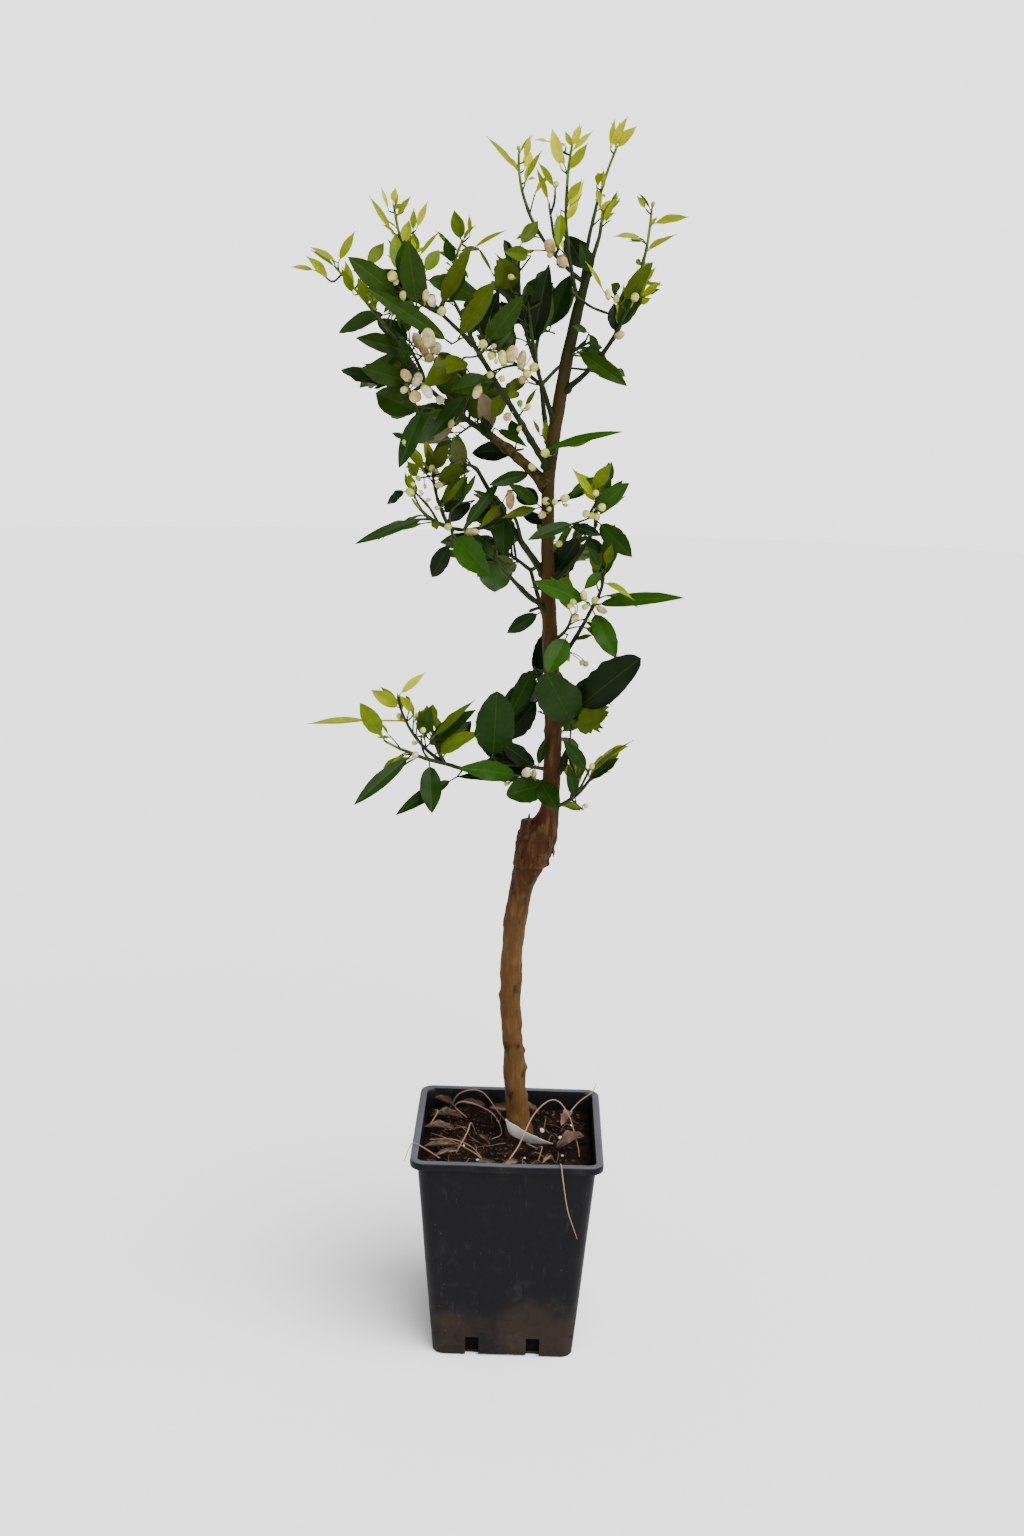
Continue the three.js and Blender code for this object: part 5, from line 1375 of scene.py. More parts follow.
    ((584, 810), (561, 806), 9, 1, 0.5, "olive"), ((403, 723), (307, 724), 6.5, 1, 0.5, "fresh", "stalk"),
    ((383, 738), (360, 703), 18, 0, 0.9, "spring"), ((399, 710), (371, 690), 13, 1, 0.7, "fresh"),
    ((398, 694), (426, 672), 8, 1, 0.7, "lime"), ((414, 714), (399, 695), 9, 1, 0.7, "fresh"),
    ((424, 737), (431, 707), 17, 1, 0.8, "green"), ((430, 740), (475, 700), 9, 1, 0.6, "olive"),
    ((426, 748), (476, 710), 16, 0, 0.7, "dark"), ((432, 757), (480, 733), 15, 0, 0.7, "spring"),
    ((441, 759), (471, 721), 18, 2, 0.8, "deep"), ((411, 757), (354, 805), 15, 0, 0.7, "dark"),
    ((430, 759), (432, 813), 22, 0, 0.9, "dark"), ((457, 777), (396, 815), 14, 1, 0.6, "dark"),
]

# Buds that the photograph shows: the pixel of the middle, width and length in pixels, the
# tint and the way it points in the picture, in degrees from the right, counted upwards.
SEEN_BUDS = [
    # left top
    ((392.5, 276), 10, 11, "cream", 100), ((396, 282), 6, 6, "cream", 60), ((403, 295), 7, 9, "beige", 90),
    ((426, 295), 7, 12, "beige", 80), ((431, 303), 10, 18, "white", 265), ((442, 311), 9, 10, "cream", 40),
    ((418, 341), 10, 19, "beige", 118), ((429, 338), 13, 21, "beige", 106), ((424, 350), 9, 12, "tan", 120),
    ((436, 348), 12, 13, "white", 60), ((429, 358), 11, 10, "tan", 250), ((406, 375), 10, 14, "peach", 130),
    ((417, 380), 10, 16, "white", 250), ((415, 397), 12, 12, "peach", 240),
    ((427, 392), 10, 16, "white", 305), ((440, 400), 9, 9, "white", 300),
    ((404, 390), 7, 8, "beige", 220), ((483, 344), 9, 9, "cream", 120),
    ((494, 346), 5, 5, "cream", 90), ((491, 356), 8, 8, "lime", 200), ((496, 361), 4, 5, "cream", 90),
    ((503, 358), 10, 16, "cream", 100), ((512, 354), 12, 18, "beige", 70), ((522, 360), 9, 20, "beige", 80),
    ((534, 367), 9, 9, "cream", 30), ((527, 374), 9, 9, "cream", 300), ((522, 380), 8, 8, "tan", 270),
    ((490, 375), 7, 7, "cream", 200), ((502, 379), 6, 7, "cream", 270), ((477, 392), 9, 15, "beige", 250),
    ((451, 424), 6, 9, "tan", 250), ((520, 403), 6, 7, "green", 90),
    ((528, 407), 6, 7, "cream", 60), ((507, 417), 8, 9, "tan", 230), ((519, 429), 5, 6, "lime", 250),
    # top
    ((511, 277), 6, 7, "cream", 160), ((550, 246), 11, 15, "peach", 100), ((550, 255), 6, 7, "cream", 200),
    ((563, 261), 13, 14, "peach", 60), ((556, 184), 6, 6, "cream", 90), ((518.6, 148), 4, 5, "tan", 95),
    ((653, 204), 4, 6, "tan", 80), ((635, 297), 8, 9, "cream", 70), ((616, 299), 6, 7, "cream", 100),
    ((608, 294), 6, 11, "cream", 95), ((620, 335), 8, 10, "beige", 30),
    # left cluster
    ((545, 453), 9, 9, "lime", 150), ((532, 467), 7, 9, "cream", 130), ((439, 485), 6, 9, "cream", 180),
    ((410, 492), 8, 10, "lime", 130), ((432, 468), 6, 7, "lime", 90), ((418, 478), 5, 6, "lime", 120),
    ((413, 484), 4, 5, "white", 120), ((421, 492), 4, 5, "white", 140), ((428, 500), 4, 5, "cream", 200),
    ((437, 508), 5, 6, "white", 190), ((425, 486), 4, 4, "cream", 90), ((404, 442), 4, 5, "lime", 90),
    ((448, 527), 7, 8, "lime", 200), ((472, 532), 8, 16, "beige", 0), ((510, 500), 9, 21, "tan", 270),
    ((546, 501), 8, 8, "cream", 90), ((555, 502), 6, 6, "cream", 60), ((565, 498), 8, 9, "cream", 20),
    ((542, 515), 8, 8, "beige", 210), ((549, 509), 5, 5, "cream", 90), ((566, 505), 4, 5, "cream", 0),
    # right
    ((596, 493), 6, 7, "cream", 90), ((602, 507), 8, 8, "cream", 30), ((586, 514), 8, 8, "cream", 180),
    ((592, 516), 7, 7, "lime", 250), ((597, 517), 6, 8, "cream", 280), ((559, 544), 7, 7, "lime", 220),
    ((584, 595), 7, 11, "cream", 100), ((595, 600), 7, 8, "cream", 60), ((602, 610), 7, 12, "tan", 330),
    ((585, 607), 6, 7, "lime", 200), ((573, 602), 6, 7, "lime", 160), ((570, 606), 5, 6, "lime", 190),
    ((575, 618), 6, 9, "cream", 230), ((582, 663), 6, 6, "cream", 200), ((586, 664), 6, 6, "cream", 330),
    # low
    ((526, 773), 9, 9, "white", 180), ((534, 774), 6, 10, "tan", 90), ((506, 784), 5, 5, "cream", 200),
    ((592, 766), 6, 7, "lime", 80), ((586, 806), 5, 5, "cream", 330), ((423, 730), 6, 6, "cream", 100),
    ((414, 743), 5, 5, "cream", 170), ((415, 755), 6, 7, "white", 230), ((417, 715), 4, 5, "lime", 60),
]


def draws_from(seed):
    """Seeded draws between 0 and 1."""
    state = seed * 7919
    while True:
        state = (state * 1664525 + 1013904223) % 4294967296
        yield state / 4294967296


def leaning(tangent, lean, turn):
    """The direction that leaves a twig at a lean, turned round it."""
    aside = UP.cross(tangent)
    aside = aside.normalized() if aside.length_squared > 1e-4 else Vector((1, 0, 0))
    over = tangent.cross(aside)
    slope, spin = math.radians(lean), math.radians(turn)
    return tangent * math.cos(slope) + (aside * math.cos(spin) + over * math.sin(spin)) * math.sin(slope)


def leaf_frame(leaf):
    """The leaf's directions: along it, up off its face and to its side."""
    along = leaf["heading"]
    over = (leaf["face"] - along * leaf["face"].dot(along)).normalized()
    return along, over, over.cross(along)


def place_on_leaf(leaf, share, aside=0.0):
    along, over, side = leaf_frame(leaf)
    reach = leaf["length"] * share
    return leaf["root"] + along * reach - over * (leaf["arch"] * reach * share) + side * aside


def leaf_by_rule(twig, share, turn, age, draw, scale=1.0):
    tangent = twig.tangent(share)
    lean = age["lean"] * (1.15 - 0.5 * share) + 16 * (next(draw) - 0.5)
    root = twig.at(min(share, LAST_ROOT))
    size = (0.8 + 0.36 * next(draw)) * (1.1 - 0.2 * share) * scale
    stray = Vector((next(draw) - 0.5, next(draw) - 0.5, next(draw) - 0.5))
    side = FACE_OUT if root.y < 0 else -FACE_OUT
    face = UP + FRONT * side + stray * 2 * FACE_SPREAD
    return dict(root=root, heading=leaning(tangent, lean, turn), face=face, length=age["length"] * size,
                width=age["width"] * size, arch=age["arch"], age=age)


taken = []


def claim(owner, points, faces):
    corners = np.array([tuple(point) for point in points])
    taken.append((owner, corners.min(axis=0), corners.max(axis=0), BVHTree.FromPolygons(points, faces)))


def is_free(owner, points, faces, own):
    """Whether a form is clear of all the others, or with own of its owner's own too."""
    corners = np.array([tuple(point) for point in points])
    low, high = corners.min(axis=0), corners.max(axis=0)
    tree = None
    for other, other_low, other_high, other_tree in taken:
        if (other == owner and not own) or (other_low > high).any() or (other_high < low).any():
            continue
        tree = tree or BVHTree.FromPolygons(points, faces)
        if tree.overlap(other_tree):
            return False
    return True


def leaf_form(leaf, start=0.0, swell=0.5):
    """A plain faceted stand-in for a leaf, to test what it touches."""
    _, over, side = leaf_frame(leaf)
    points = []
    for reach, width in ((start, 0.03), (0.4, 0.46), (0.7, 0.38), (1, 0.03)):
        middle = place_on_leaf(leaf, reach)
        half = width * leaf["width"] + swell
        points += [middle - side * half, middle + side * half, middle + over * (0.6 + swell)]
    faces = [(0, 1, 2), (9, 11, 10)]
    for ring in (0, 3, 6):
        for a, b in ((0, 1), (1, 2), (2, 0)):
            faces.append((ring + a, ring + 3 + a, ring + 3 + b, ring + b))
    return points, faces


def tube_form(run, radius, steps=6):
    form = Shape()
    tube(form, run.steps(steps), [radius] * (steps + 1), 5)
    return [Vector(point) for point in form.points], form.faces


def seen_at(pixel, depth):
    """The place in millimetres that a pixel of the photograph shows at a depth."""
    across = (pixel[0] - PHOTO_WIDTH / 2) / FOCAL_PIXELS
    upward = (PHOTO_HEIGHT / 2 - pixel[1]) / FOCAL_PIXELS
    sight = CAMERA_AIM + rolled_right * across + rolled_up * upward
    return EYE + sight * ((depth - EYE.y) / sight.y)


def pixel_of(place):
    """The pixel of the photograph that shows a place, and how many pixels a millimetre takes."""
    away = place - EYE
    ahead = away.dot(CAMERA_AIM)
    across = PHOTO_WIDTH / 2 + FOCAL_PIXELS * away.dot(rolled_right) / ahead
    down = PHOTO_HEIGHT / 2 - FOCAL_PIXELS * away.dot(rolled_up) / ahead
    return np.array((across, down)), FOCAL_PIXELS / ahead


carriers = []


def carry(owner, run, first=0.0):
    """Lets a run carry what the photograph shows beside it."""
    shares = np.linspace(first, LAST_ROOT, max(int(run.length / 2), 6))
    pixels = np.array([pixel_of(run.at(share))[0] for share in shares])
    carriers.append((owner, run, shares, pixels))


def nearest_carrier(pixel):
    """The run that passes nearest to a pixel, its share there and how many pixels off it is."""
    best = None
    for owner, run, shares, pixels in carriers:
        gaps = np.hypot(*(pixels - np.array(pixel)).T)
        i = int(gaps.argmin())
        if best is None or gaps[i] < best[3]:
            best = (owner, run, float(shares[i]), float(gaps[i]))
    return best


leaves, buds, twigs, masses = [], [], [], []
for name, limb_shape in (("boughs", green_boughs), ("boughs", brown_boughs), ("trunk", trunk_shape)):
    claim(name, [Vector(point) for point in limb_shape.points], limb_shape.faces)
for name, run in limb_runs.items():
    carry("boughs", run, 0.15)
carry("trunk", Run([trunk_centre(height) for height in range(650, 1250, 3)]))
for name, row in MASSES.items():
    if row["limb"] == "trunk":
        foot = trunk_centre(row["at"])
    else:
        foot = limb_runs[row["limb"]].at(0.97)
    stem = bowed(foot, Vector(row["tip"]), row["bow"])
    mass = dict(row, name=name, stem=stem, middle=stem.at(0.5), age=AGES[row["age"]])
    masses.append(mass)
    twigs.append(dict(run=stem, radii=(2.4, 1.35), young=row["age"] == "young"))
    outside = 0.12 if row["limb"] == "trunk" else 0.05
    claim(name, *tube_form(bowed(stem.at(outside), Vector(row["tip"])), 1.4))
    if not name.startswith("back") and name != "left_back_leaves":
        carry(name, stem, 0.1)
for pixels, tip_depth, radius in SEEN_STEMS:
    owner, run, share, gap = nearest_carrier(pixels[0])
    root = run.at(share)
    spots = [root]
    for i, pixel in enumerate(pixels):
        if i > 0 or gap > NEAR_STEM:
            spots.append(seen_at(pixel, root.y + (tip_depth - root.y) * (i + 0.5) / (len(pixels) - 0.5)))
    twig = Run(smooth_run(spots, 12))
    twigs.append(dict(run=twig, radii=(radius + 0.4, radius), young=pixels[-1][1] < 290))
    claim("seen", *tube_form(twig, radius, 10))
    carry("seen", twig, 0.1)


# What the photograph shows
# Each leaf and bud in view is set on the stem that passes nearest, on a side twig or a
# stalk of its own where it stands off it, and ends at the pixel where its tip is seen.
LAYER_DEPTHS = (-9, -2, 7)
LAYER_SLOPES = (-0.3, -0.06, 0.3)
DEPTH_TRIES = (0, -6, 6, -12, 12, -20, 20, 28)
WIDEST = 0.62
DEEPEST = 42
OLD_LENGTH = 44
YOUNG_WIDTH = 12
YOUNG_TINTS = ("lime", "fresh", "spring")

# How far a bud in view sits in front of the twig or the trunk that carries it.
BUD_CLEAR = 12
BUD_CLEAR_OF_TRUNK = 17

# What each bend of a leaf changes in it.
BENDS = {
    "": dict(),
    "hook": dict(arch=0.5),
    "curve": dict(arch=0.34),
    "stalk": dict(stalk_share=0.42),
    "wide": dict(widest=1.05, veins=0.28, outline=(1.0, 0.52, 0.5)),
    "ragged": dict(ragged=0.5),
}
hiding = []


def set_leaf(leaf, tip, width_pixels, turned):
    """Turns a leaf from its root so that its tip and its width come where they are seen."""
    reach = tip - leaf["root"]
    sight = (leaf["root"] - EYE).normalized()
    leaf["length"] = reach.length / math.sqrt(1 + leaf["arch"] ** 2)
    leaf["heading"] = reach.normalized()
    leaf["face"] = UP * (1 - turned) - sight * turned
    if abs(leaf["heading"].dot(leaf["face"].normalized())) > 0.94:
        leaf["face"] = UP * 0.3 - sight
    for step in range(4):
        over = leaf_frame(leaf)[1]
        leaf["heading"] = (reach.normalized() + over * leaf["arch"]).normalized()
    side = leaf_frame(leaf)[2]
    level_side = side - sight * side.dot(sight)
    level_reach = (reach - sight * reach.dot(sight)).normalized()
    shown = (level_side - level_reach * level_side.dot(level_reach)).length
    width = width_pixels / pixel_of(leaf["root"])[1] / max(shown, 0.4)
    leaf["width"] = min(width, leaf.get("widest", WIDEST) * leaf["length"])


def hang_leaf(foot_pixel, tip_pixel, width_pixels, layer, turned, tint, bend=""):
    owner, run, share, gap = nearest_carrier(foot_pixel)
    root = run.at(share)
    if gap > NEAR_STEM:
        foot = seen_at(foot_pixel, root.y + LAYER_DEPTHS[layer])
        twig = bowed(run.at(share - min(0.5 * gap, 8) / run.length), foot, (0, 0, -0.06 * gap))
        thick = 0.75 + 0.012 * min(gap, 40)
        twigs.append(dict(run=twig, radii=(thick + 0.2, thick), young=tint in YOUNG_TINTS))
        carry(owner, twig, 0.3)
        root = foot
    scale = pixel_of(root)[1]
    seen_length = math.dist(foot_pixel, tip_pixel) / scale
    length = max(1.03 * seen_length, width_pixels / scale / SHORT_LEAF)
    away = math.sqrt(length ** 2 - seen_length ** 2) * (1 if layer == 2 else -1)
    away = min(max(away, -DEEPEST), DEEPEST) + LAYER_SLOPES[layer] * seen_length
    age = AGES["old"] if seen_length > OLD_LENGTH else AGES["mid"]
    if width_pixels < YOUNG_WIDTH and tint in (*YOUNG_TINTS, "olive"):
        age = AGES["young"]
    leaf = dict(root=root, arch=age["arch"], age=age, tint=tint, mass=owner, kind="seen")
    leaf.update(BENDS[bend])
    for shift in DEPTH_TRIES:
        set_leaf(leaf, seen_at(tip_pixel, root.y + away + shift), width_pixels, turned)
        if is_free(owner, *leaf_form(leaf, 0.25, 0.0), True):
            break
    leaves.append(leaf)
    claim(owner, *leaf_form(leaf, 0.22, 0.0))
    foot, tip = pixel_of(root)[0], np.array(tip_pixel)
    hiding.append((*foot, *tip, width_pixels / 2, root.y, root.y + away + shift))


for row in SEEN_LEAVES:
    hang_leaf(*row)
hiding = np.array(hiding)


def covering(pixel, spread):
    """The depths of the leaves in view that cover a pixel."""
    reach = hiding[:, 2:4] - hiding[:, 0:2]
    away = pixel - hiding[:, 0:2]
    share = (away * reach).sum(axis=1) / (reach * reach).sum(axis=1)
    inner = share.clip(0.05, 0.97)
    gap = np.hypot(*(away - reach * inner[:, None]).T)
    covered = gap < hiding[:, 4] * np.sin(np.pi * inner) ** 0.6 + spread
    return (hiding[:, 5] + (hiding[:, 6] - hiding[:, 5]) * inner)[covered]


def is_hidden(place):
    """Whether a leaf in view stands in front of a place."""
    return bool((covering(pixel_of(place)[0], PEEK) < place.y - 1).any())


def front_depth(pixel, spread):
    """The depth of the foremost leaf in view over a pixel or near it, or far behind them all."""
    return float(min(covering(np.array(pixel), spread), default=CROWN_HIGH.y))


def leaf_fits(mass, leaf):
    tip = place_on_leaf(leaf, 1)
    inside = all(low < part < high for low, part, high in zip(CROWN_LOW, tip, CROWN_HIGH))
    if not inside or (tip - mass["middle"]).length > mass["room"]:
        return False
    edge = 0.42 * leaf["width"]
    spots = [(share, 0) for share in (0.2, 0.4, 0.55, 0.7, 0.85, 1)]
    spots += [(share, side * edge) for share in (0.35, 0.55, 0.75) for side in (-1, 1)]
    if not all(is_hidden(place_on_leaf(leaf, share, aside)) for share, aside in spots):
        return False
    return is_free(mass["name"], *leaf_form(leaf, 0.25), True)


def dress_twig(mass, twig, count, start, draw, age, kind, scale=1.0):
    """Deals leaves out by turns round a twig, where they are clear and hide nothing in view."""
    for i in range(count):
        share = start + (1 - start) * ((i + 1) / count)
        first_turn = 360 * next(draw)
        for attempt in range(TRIES):
            turn = first_turn + TURN * i + RETRY_TURN * attempt
            leaf = leaf_by_rule(twig, share, turn, age, draw, scale)
            if leaf_fits(mass, leaf):
                leaf.update(mass=mass["name"], kind=kind)
                leaves.append(leaf)
                claim(mass["name"], *leaf_form(leaf, 0.22, 0.0))
                break


for pixel, width_pixels, length_pixels, tint, heading in SEEN_BUDS:
    owner, run, share, gap = nearest_carrier(pixel)
    root = run.at(share)
    turn = math.radians(heading)
    aim = (rolled_right * math.cos(turn) + rolled_up * math.sin(turn) - CAMERA_AIM * 0.25).normalized()
    clear = BUD_CLEAR_OF_TRUNK if owner == "trunk" else BUD_CLEAR
    middle = seen_at(pixel, min(root.y, front_depth(pixel, width_pixels / 2)) - clear)
    scale = pixel_of(middle)[1]
    length = length_pixels / scale
    buds.append(dict(root=root, foot=middle - aim * (length / 2), heading=aim, long=length,
                     size=width_pixels / scale / 2, tint=tint))


# The rest by rule
# Masses grow on behind what shows and round the back, then finer twigs with smaller leaves.
for mass in masses:
    draw = draws_from(mass["seed"])
    stem = mass["stem"]
    for i in range(mass["buds"]):
        share = 0.55 + 0.42 * ((i + 1) / mass["buds"])
        heading = leaning(stem.tangent(share), 20 + 45 * next(draw), 360 * next(draw) + TURN * i)
        size = mass["bud_size"] * (0.85 + 0.3 * next(draw))
        root = stem.at(share)
        foot = root + heading * BUD_STALK
        bud_run = bowed(root, foot + heading * 2.4 * size)
        if is_hidden(foot) and is_free(mass["name"], *tube_form(bud_run, 0.8 * size, 3), True):
            buds.append(dict(root=root, foot=foot, heading=heading, long=2.4 * size, size=size, tint="cream"))
            claim(mass["name"], *tube_form(bud_run, 0.8 * size, 3))
    for i in range(mass["twigs"]):
        share = 0.4 + 0.3 * (i / mass["twigs"])
        heading = leaning(stem.tangent(share), 50, 360 * next(draw) + TURN * i)
        root = stem.at(share)
        tip = root + heading * min(55, 0.55 * stem.length + 12)
        if is_hidden(tip) and is_free(mass["name"], *tube_form(bowed(root, tip), 1.6, 2), False):
            twig = bowed(root, tip, (0, 0, 2.5))
            twigs.append(dict(run=twig, radii=(1.5, 0.9), young=mass["age"] is AGES["young"]))
            claim(mass["name"], *tube_form(twig, 1.2, 2))
            dress_twig(mass, twig, 5, 0.2, draw, mass["age"], "rule")
    dress_twig(mass, stem, mass["leaves"] + 2, 0.2, draw, mass["age"], "rule")
for mass in masses:
    draw = draws_from(mass["seed"] + 100)
    stem = mass["stem"]
    young = mass["age"] is AGES["young"]
    fine_age = AGES["young"] if young else AGES["mid"]
    for i in range(FINE_TWIGS):
        share = 0.25 + 0.6 * (i / FINE_TWIGS) + 0.1 * next(draw)
        for attempt in range(TRIES):
            heading = leaning(stem.tangent(share), 42, 360 * next(draw) + TURN * i)
            root = stem.at(share)
            twig = bowed(root, root + heading * (13 + 15 * next(draw)), (0, 0, 1.5))
            tip = twig.at(1)
            if (tip - mass["middle"]).length < mass["room"] and tip.z < CROWN_HIGH.z - 20 and is_hidden(tip) \
                    and is_free(mass["name"], *tube_form(bowed(twig.at(0.2), tip), 1.2, 2), False):
                before = len(leaves)
                dress_twig(mass, twig, FINE_LEAVES, 0.3, draw, fine_age, "fine", 0.62)
                if len(leaves) > before:
                    twigs.append(dict(run=twig, radii=(0.95, 0.6), young=young))
                    claim(mass["name"], *tube_form(twig, 0.8, 2))
                    break
    dress_twig(mass, stem, FILL_LEAVES, 0.1, draw, fine_age, "fill", 0.8)


# Leaves
# Citrus leaves, each a thin blade folded a little along a pale midrib on a short stalk:
# old ones broad, dark and quilted by their veins, young ones narrow, thin and lime green.
# The deep tint is partly the dark green of old leaves and partly painted shade: it goes mostly to leaves of
# the back layer, which stand in the crown's shade.
TINTS = {
    "deep": (0.002, 0.0078, 0.0002),
    "dark": (0.0052, 0.0195, 0.0003),
    "fern": (0.012, 0.042, 0.0012),
    "green": (0.0105, 0.028, 0.0003),
    "olive": (0.038, 0.058, 0.0004),
    "spring": (0.066, 0.1, 0.001),
    "fresh": (0.15, 0.185, 0.003),
    "lime": (0.34, 0.345, 0.004),
    "pale": (0.038, 0.046, 0.01),
    "dry": (0.105, 0.083, 0.042),
}
# The inner masses near the trunk take the deep tint, partly as painted shade of the crown.
MASS_TINTS = {
    "low_left_tip_leaves": ("fresh", "spring"), "low_left_rise_leaves": ("spring", "green"),
    "low_left_inner_leaves": ("green", "olive"), "low_trunk_leaves": ("deep", "dark"),
    "low_right_leaves": ("olive", "fresh"), "right_low_leaves": ("deep", "dark"),
    "left_low_leaves": ("dark", "deep"), "left_side_leaves": ("deep", "dark"),
    "mid_front_leaves": ("olive", "fresh"), "right_mid_leaves": ("green", "olive"),
    "right_high_leaves": ("green", "fresh"), "mid_trunk_leaves": ("green", "dark"),
    "thin_right_leaves": ("green", "olive"), "left_mid_leaves": ("dark", "deep"),
    "left_low_cluster": ("spring", "olive"), "left_low_rise": ("olive", "fresh"),
    "left_drape_leaves": ("green", "olive"), "left_outer_low": ("green", "dark"),
    "left_outer_mid": ("green", "olive"), "left_outer_high": ("green", "dark"),
    "left_top_leaves": ("green", "olive"), "left_far_shoot": ("fresh", "spring"),
    "left_rise_shoot": ("fresh", "spring"), "left_inner_rise": ("spring", "olive"),
    "left_inner_top": ("green", "olive"), "left_inner_mid": ("green", "olive"),
    "centre_left_leaves": ("deep", "dark"), "centre_right_leaves": ("dark", "deep"),
    "centre_top_leaves": ("dark", "green"), "top_left_shoot": ("lime", "fresh"),
    "top_centre_shoot": ("lime", "fresh"), "top_right_shoot": ("lime", "fresh"),
    "leader_leaves": ("spring", "fresh"), "right_cluster_leaves": ("green", "fresh"),
    "right_far_shoot": ("fresh", "spring"), "right_leaf_mass": ("dark", "green"),
    "back_low_left": ("dark", "green"), "back_low_right": ("green", "olive"),
    "back_foot_leaves": ("dark", "green"), "back_high_left": ("dark", "green"),
    "back_high_right": ("dark", "green"), "left_back_leaves": ("dark", "green"),
}
UNDERSIDE = (0.07, 0.1, 0.012)
MIDRIB = (0.12, 0.17, 0.02)
LEAF_FOLD = (0.12, 0.34)
YOUNG_FOLD = (0.2, 0.5)
LEAF_GROUPS = {
    "low_leaves": (0, 900),
    "middle_leaves": (900, 1100),
    "upper_leaves": (1100, 1500),
}


def leaf_finish(name, colour, roughness, bump):
    finish, place, shader = start_finish(name)
    mottle = grain(place, 130, 3, 0.6)
    feed(
        shader,
        Base_Color=blend(mottle, [0.62 * c for c in colour], [1.38 * c for c in colour]),
        Roughness=roughness + 0.14 * mottle,
        Normal=relief(grain(place, 420, 2), 0.0002, bump),
        Specular_IOR_Level=0.06,
    )
    return finish


leaf_finishes = []
finish_numbers = {}
for tint, colour in TINTS.items():
    pale = [0.7 * c + 0.3 * p for c, p in zip(colour, UNDERSIDE)]
    rib = [0.92 * c + 0.08 * p for c, p in zip(colour, MIDRIB)]
    finish_numbers[tint] = len(leaf_finishes)
    leaf_finishes.append(leaf_finish(tint + " leaf", colour, 0.32, 0.35))
    leaf_finishes.append(leaf_finish(tint + " leaf underside", pale, 0.52, 0.3))
    leaf_finishes.append(leaf_finish(tint + " leaf midrib", rib, 0.42, 0.1))

leaf_shapes = {name: Shape() for name in LEAF_GROUPS}
draw_leaf = np.random.default_rng(23)
for leaf in leaves:
    old = leaf["age"] is AGES["old"]
    young = leaf["age"] is AGES["young"]
    if leaf["kind"] == "seen":
        tint = leaf["tint"]
    else:
        main_tint, other_tint = MASS_TINTS[leaf["mass"]]
        tint = main_tint if draw_leaf.uniform() < 0.62 else other_tint
    length = leaf["length"]
    broad = leaf["width"] / length
    big = "veins" in leaf
    leaf.update(
        stalk=leaf.get("stalk_share", min(0.14, 9 / length)) * length,
        outline=leaf.get("outline", leaf["age"]["outline"]),
        twist=draw_leaf.normal(0, 0.2), rib=0.22 + 0.004 * length,
        ragged=leaf.get("ragged", 0.1 if old else 0.05), seed=float(draw_leaf.uniform(0, 50)),
        wave=draw_leaf.uniform(0.04, 0.14) if broad > 0.25 else 0.03, waves=draw_leaf.uniform(1.2, 2.4),
        curl=draw_leaf.normal(0, 0.12), fold=draw_leaf.uniform(*YOUNG_FOLD if young else LEAF_FOLD),
        veins=leaf.get("veins", 0.0), vein_pairs=6, thick=0.34 if not young else 0.28,
    )
    group = next(name for name, (low, high) in LEAF_GROUPS.items() if low <= leaf["root"].z < high)
    number = finish_numbers[tint]
    rows = 30 if big else 14 if length > 30 else 10
    blade(leaf_shapes[group], leaf, rows, (number, number + 1, number + 2))
    spots = [place_on_leaf(leaf, leaf["stalk"] / length * step / 4) for step in range(5)]
    thick = 0.45 + 0.006 * length
    tube(leaf_shapes[group], spots, [1.25 * thick, thick, thick, thick, 0.9 * thick], 6, number + 2)
for name, shape in leaf_shapes.items():
    make_piece(name, shape, leaf_finishes, crease=50)


# Twigs
# The stems that carry the leaves: nearly black green where they are a year old, and on the
# new shoots dark below and pale green towards the tip.
YOUNG_SPANS = ((0, 0.45, 0), (0.45, 0.75, 1), (0.75, 1, 2))
OLD_SPANS = ((0, 1, 0),)
twig_shape = Shape()
for seed, twig in enumerate(twigs):
    run = twig["run"]
    count = max(int(run.length / 3.5), 8)
    thick, thin = twig["radii"]
    spots, widths = [], []
    for i, spot in enumerate(run.steps(count)):
        stray = noise.noise_vector(spot * 0.05) * (0.7 * min(1, 3 * i / count, 3 * (count - i) / count))
        spots.append(spot + stray)
        widths.append(thick + (thin - thick) * i / count if i < count else 0.6 * thin)
    for first, last, finish in YOUNG_SPANS if twig["young"] else OLD_SPANS:
        start, end = round(first * count), round(last * count)
        tube(twig_shape, spots[start:end + 1], widths[start:end + 1], 8, finish, knotty(5, 0.3, seed))
twig_finishes = []
for name, low, high in (
    ("dark twig", (0.005, 0.009, 0.0008), (0.018, 0.028, 0.002)),
    ("green shoot", (0.009, 0.016, 0.0008), (0.03, 0.045, 0.002)),
    ("new shoot", (0.035, 0.055, 0.0015), (0.09, 0.12, 0.004)),
):
    finish, place, shader = start_finish(name)
    mottle = grain(place, 110, 4, 0.6)
    feed(
        shader,
        Base_Color=blend(rise(mottle, 0.3, 0.7), low, high),
        Roughness=0.45 + 0.2 * mottle,
        Normal=relief(mottle, 0.0004, 0.5),
        Specular_IOR_Level=0.12,
    )
    twig_finishes.append(finish)
make_piece("leaf_twigs", twig_shape, twig_finishes, list(MASSES), crease=60)


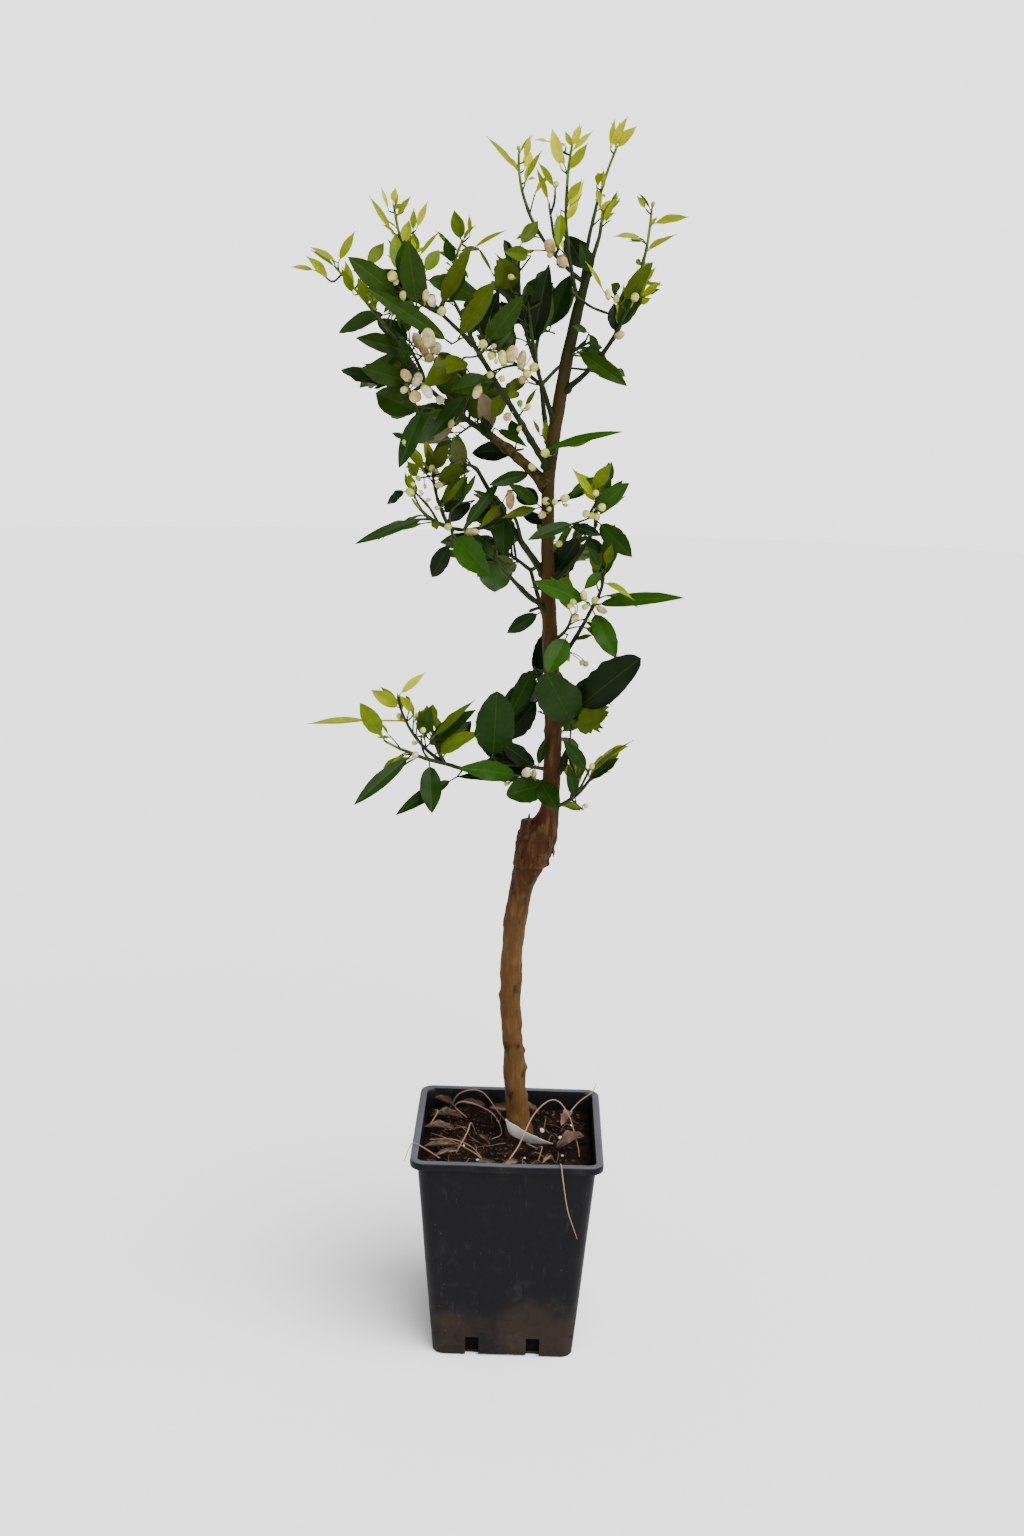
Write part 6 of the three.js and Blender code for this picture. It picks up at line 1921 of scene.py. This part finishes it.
# Buds
# Closed flower buds on short stalks, each a ridged, waxy bulb of folded petals in a small
# green cup: white, beige and pink where they swell, cream and green where they are young.
BUD_SIDES = 12
BUD_PROFILE = [
    (0, 0.25), (0.06, 0.55), (0.18, 0.84), (0.36, 0.98), (0.58, 1.0), (0.76, 0.86), (0.9, 0.56), (0.98, 0.2),
]
BUD_TINTS = {
    "stalk": ((0.09, 0.13, 0.01), (0.17, 0.2, 0.03)),
    "white": ((0.27, 0.24, 0.13), (0.5, 0.47, 0.33)),
    "beige": ((0.21, 0.16, 0.055), (0.4, 0.34, 0.17)),
    "cream": ((0.27, 0.26, 0.05), (0.47, 0.45, 0.13)),
    "peach": ((0.29, 0.2, 0.065), (0.45, 0.36, 0.165)),
    # The tan tint is partly the brown of withering petals and partly painted shade on beige buds deep in the
    # crown.
    "tan": ((0.15, 0.1, 0.035), (0.34, 0.24, 0.1)),
    "lime": ((0.19, 0.24, 0.02), (0.34, 0.38, 0.08)),
    "green": ((0.07, 0.12, 0.008), (0.14, 0.19, 0.02)),
}
bud_shape = Shape()
for bud in buds:
    size = bud["size"]
    along = bud["heading"]
    side = along.orthogonal().normalized()
    over = along.cross(side)
    foot = bud["foot"]
    tint = list(BUD_TINTS).index(bud["tint"])
    rings = []
    for share, width in BUD_PROFILE:
        ring = []
        for step in range(BUD_SIDES):
            angle = 2 * math.pi * step / BUD_SIDES + 0.6 * share
            ridge = 1 + 0.09 * math.cos(5 * angle - 0.6 * share)
            ridge += 0.08 * noise.noise(foot * 0.3 + side * share)
            out = side * math.cos(angle) + over * math.sin(angle)
            ring.append(foot + along * (bud["long"] * share) + out * (size * width * ridge))
        rings.append(ring)
    loft(bud_shape, rings, tint)
    stalk_run = bowed(bud["root"], foot, along * -0.12 * (foot - bud["root"]).length)
    tube(bud_shape, stalk_run.steps(8), [0.8, 0.65, 0.6, 0.6, 0.6, 0.6, 0.6, 0.7, 1.0], 6, 0)
    cup_run = [foot + along * spot for spot in (-0.4, 0.2, 0.8, 1.3)]
    tube(bud_shape, cup_run, [0.8, 0.5 * size + 0.3, 0.7 * size + 0.2, 0.76 * size + 0.1], 8, 0)
bud_finishes = []
for name, (low, high) in BUD_TINTS.items():
    finish, place, shader = start_finish(name + " of a bud" if name == "stalk" else name + " bud")
    mottle = grain(place, 140, 3, 0.6)
    feed(
        shader,
        Base_Color=blend(rise(mottle, 0.3, 0.7), low, high),
        Roughness=0.48 + 0.14 * mottle,
        Normal=relief(grain(place, 600, 2), 0.0003, 0.4),
        Specular_IOR_Level=0.12,
    )
    bud_finishes.append(finish)
make_piece("flower_buds", bud_shape, bud_finishes, crease=60)


# Floor and light
# A plain pale studio floor in soft light from the upper right in front, in a room that is
# pale all round at eye level and darker overhead.
FLOOR_RADIUS = 9
FLOOR_SIDES = 96
FLOOR_DROP = -0.0005
ROOM_LEVEL = (1, 1, 1)
ROOM_ABOVE = (0.2, 0.2, 0.205)
ROOM_STRENGTH = 2.5
LIGHT_STRENGTH = 7.0
LIGHT_SPREAD = 58
LIGHT_FROM = Vector((0.42, -0.42, 0.8))
floor_turns = [2 * math.pi * i / FLOOR_SIDES for i in range(FLOOR_SIDES)]
floor_points = [
    (FLOOR_RADIUS * math.cos(turn), FLOOR_RADIUS * math.sin(turn), FLOOR_DROP) for turn in floor_turns
]
floor_mesh = bpy.data.meshes.new("floor")
floor_mesh.from_pydata(floor_points, [], [tuple(range(FLOOR_SIDES))])
floor = bpy.data.objects.new("floor", floor_mesh)
bpy.context.scene.collection.objects.link(floor)
floor_finish, place, shader = start_finish("pale studio floor")
feed(
    shader,
    Base_Color=blend(grain(place, 1.5, 2), (0.93, 0.93, 0.93), (0.95, 0.95, 0.95)),
    Roughness=0.9,
    Specular_IOR_Level=0.0,
)
floor_mesh.materials.append(floor_finish)
floor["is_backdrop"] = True

world = bpy.data.worlds.new("pale room")
bpy.context.scene.world = world
world.use_nodes = True
room = Tone(world.node_tree).node("ShaderNodeTexCoord", output="Generated")
above = room.node("ShaderNodeSeparateXYZ", {}, {0: room}, "Z")
backdrop = world.node_tree.nodes["Background"]
world.node_tree.links.new(
    blend(rise(above, 0.17, 0.42), ROOM_LEVEL, ROOM_ABOVE).socket, backdrop.inputs["Color"],
)
backdrop.inputs["Strength"].default_value = ROOM_STRENGTH

soft_light = bpy.data.lights.new("soft light", "SUN")
soft_light.energy = LIGHT_STRENGTH
soft_light.angle = math.radians(LIGHT_SPREAD)
lamp = bpy.data.objects.new("soft light", soft_light)
lamp.rotation_euler = LIGHT_FROM.to_track_quat("Z", "Y").to_euler()
bpy.context.scene.collection.objects.link(lamp)

low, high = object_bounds()
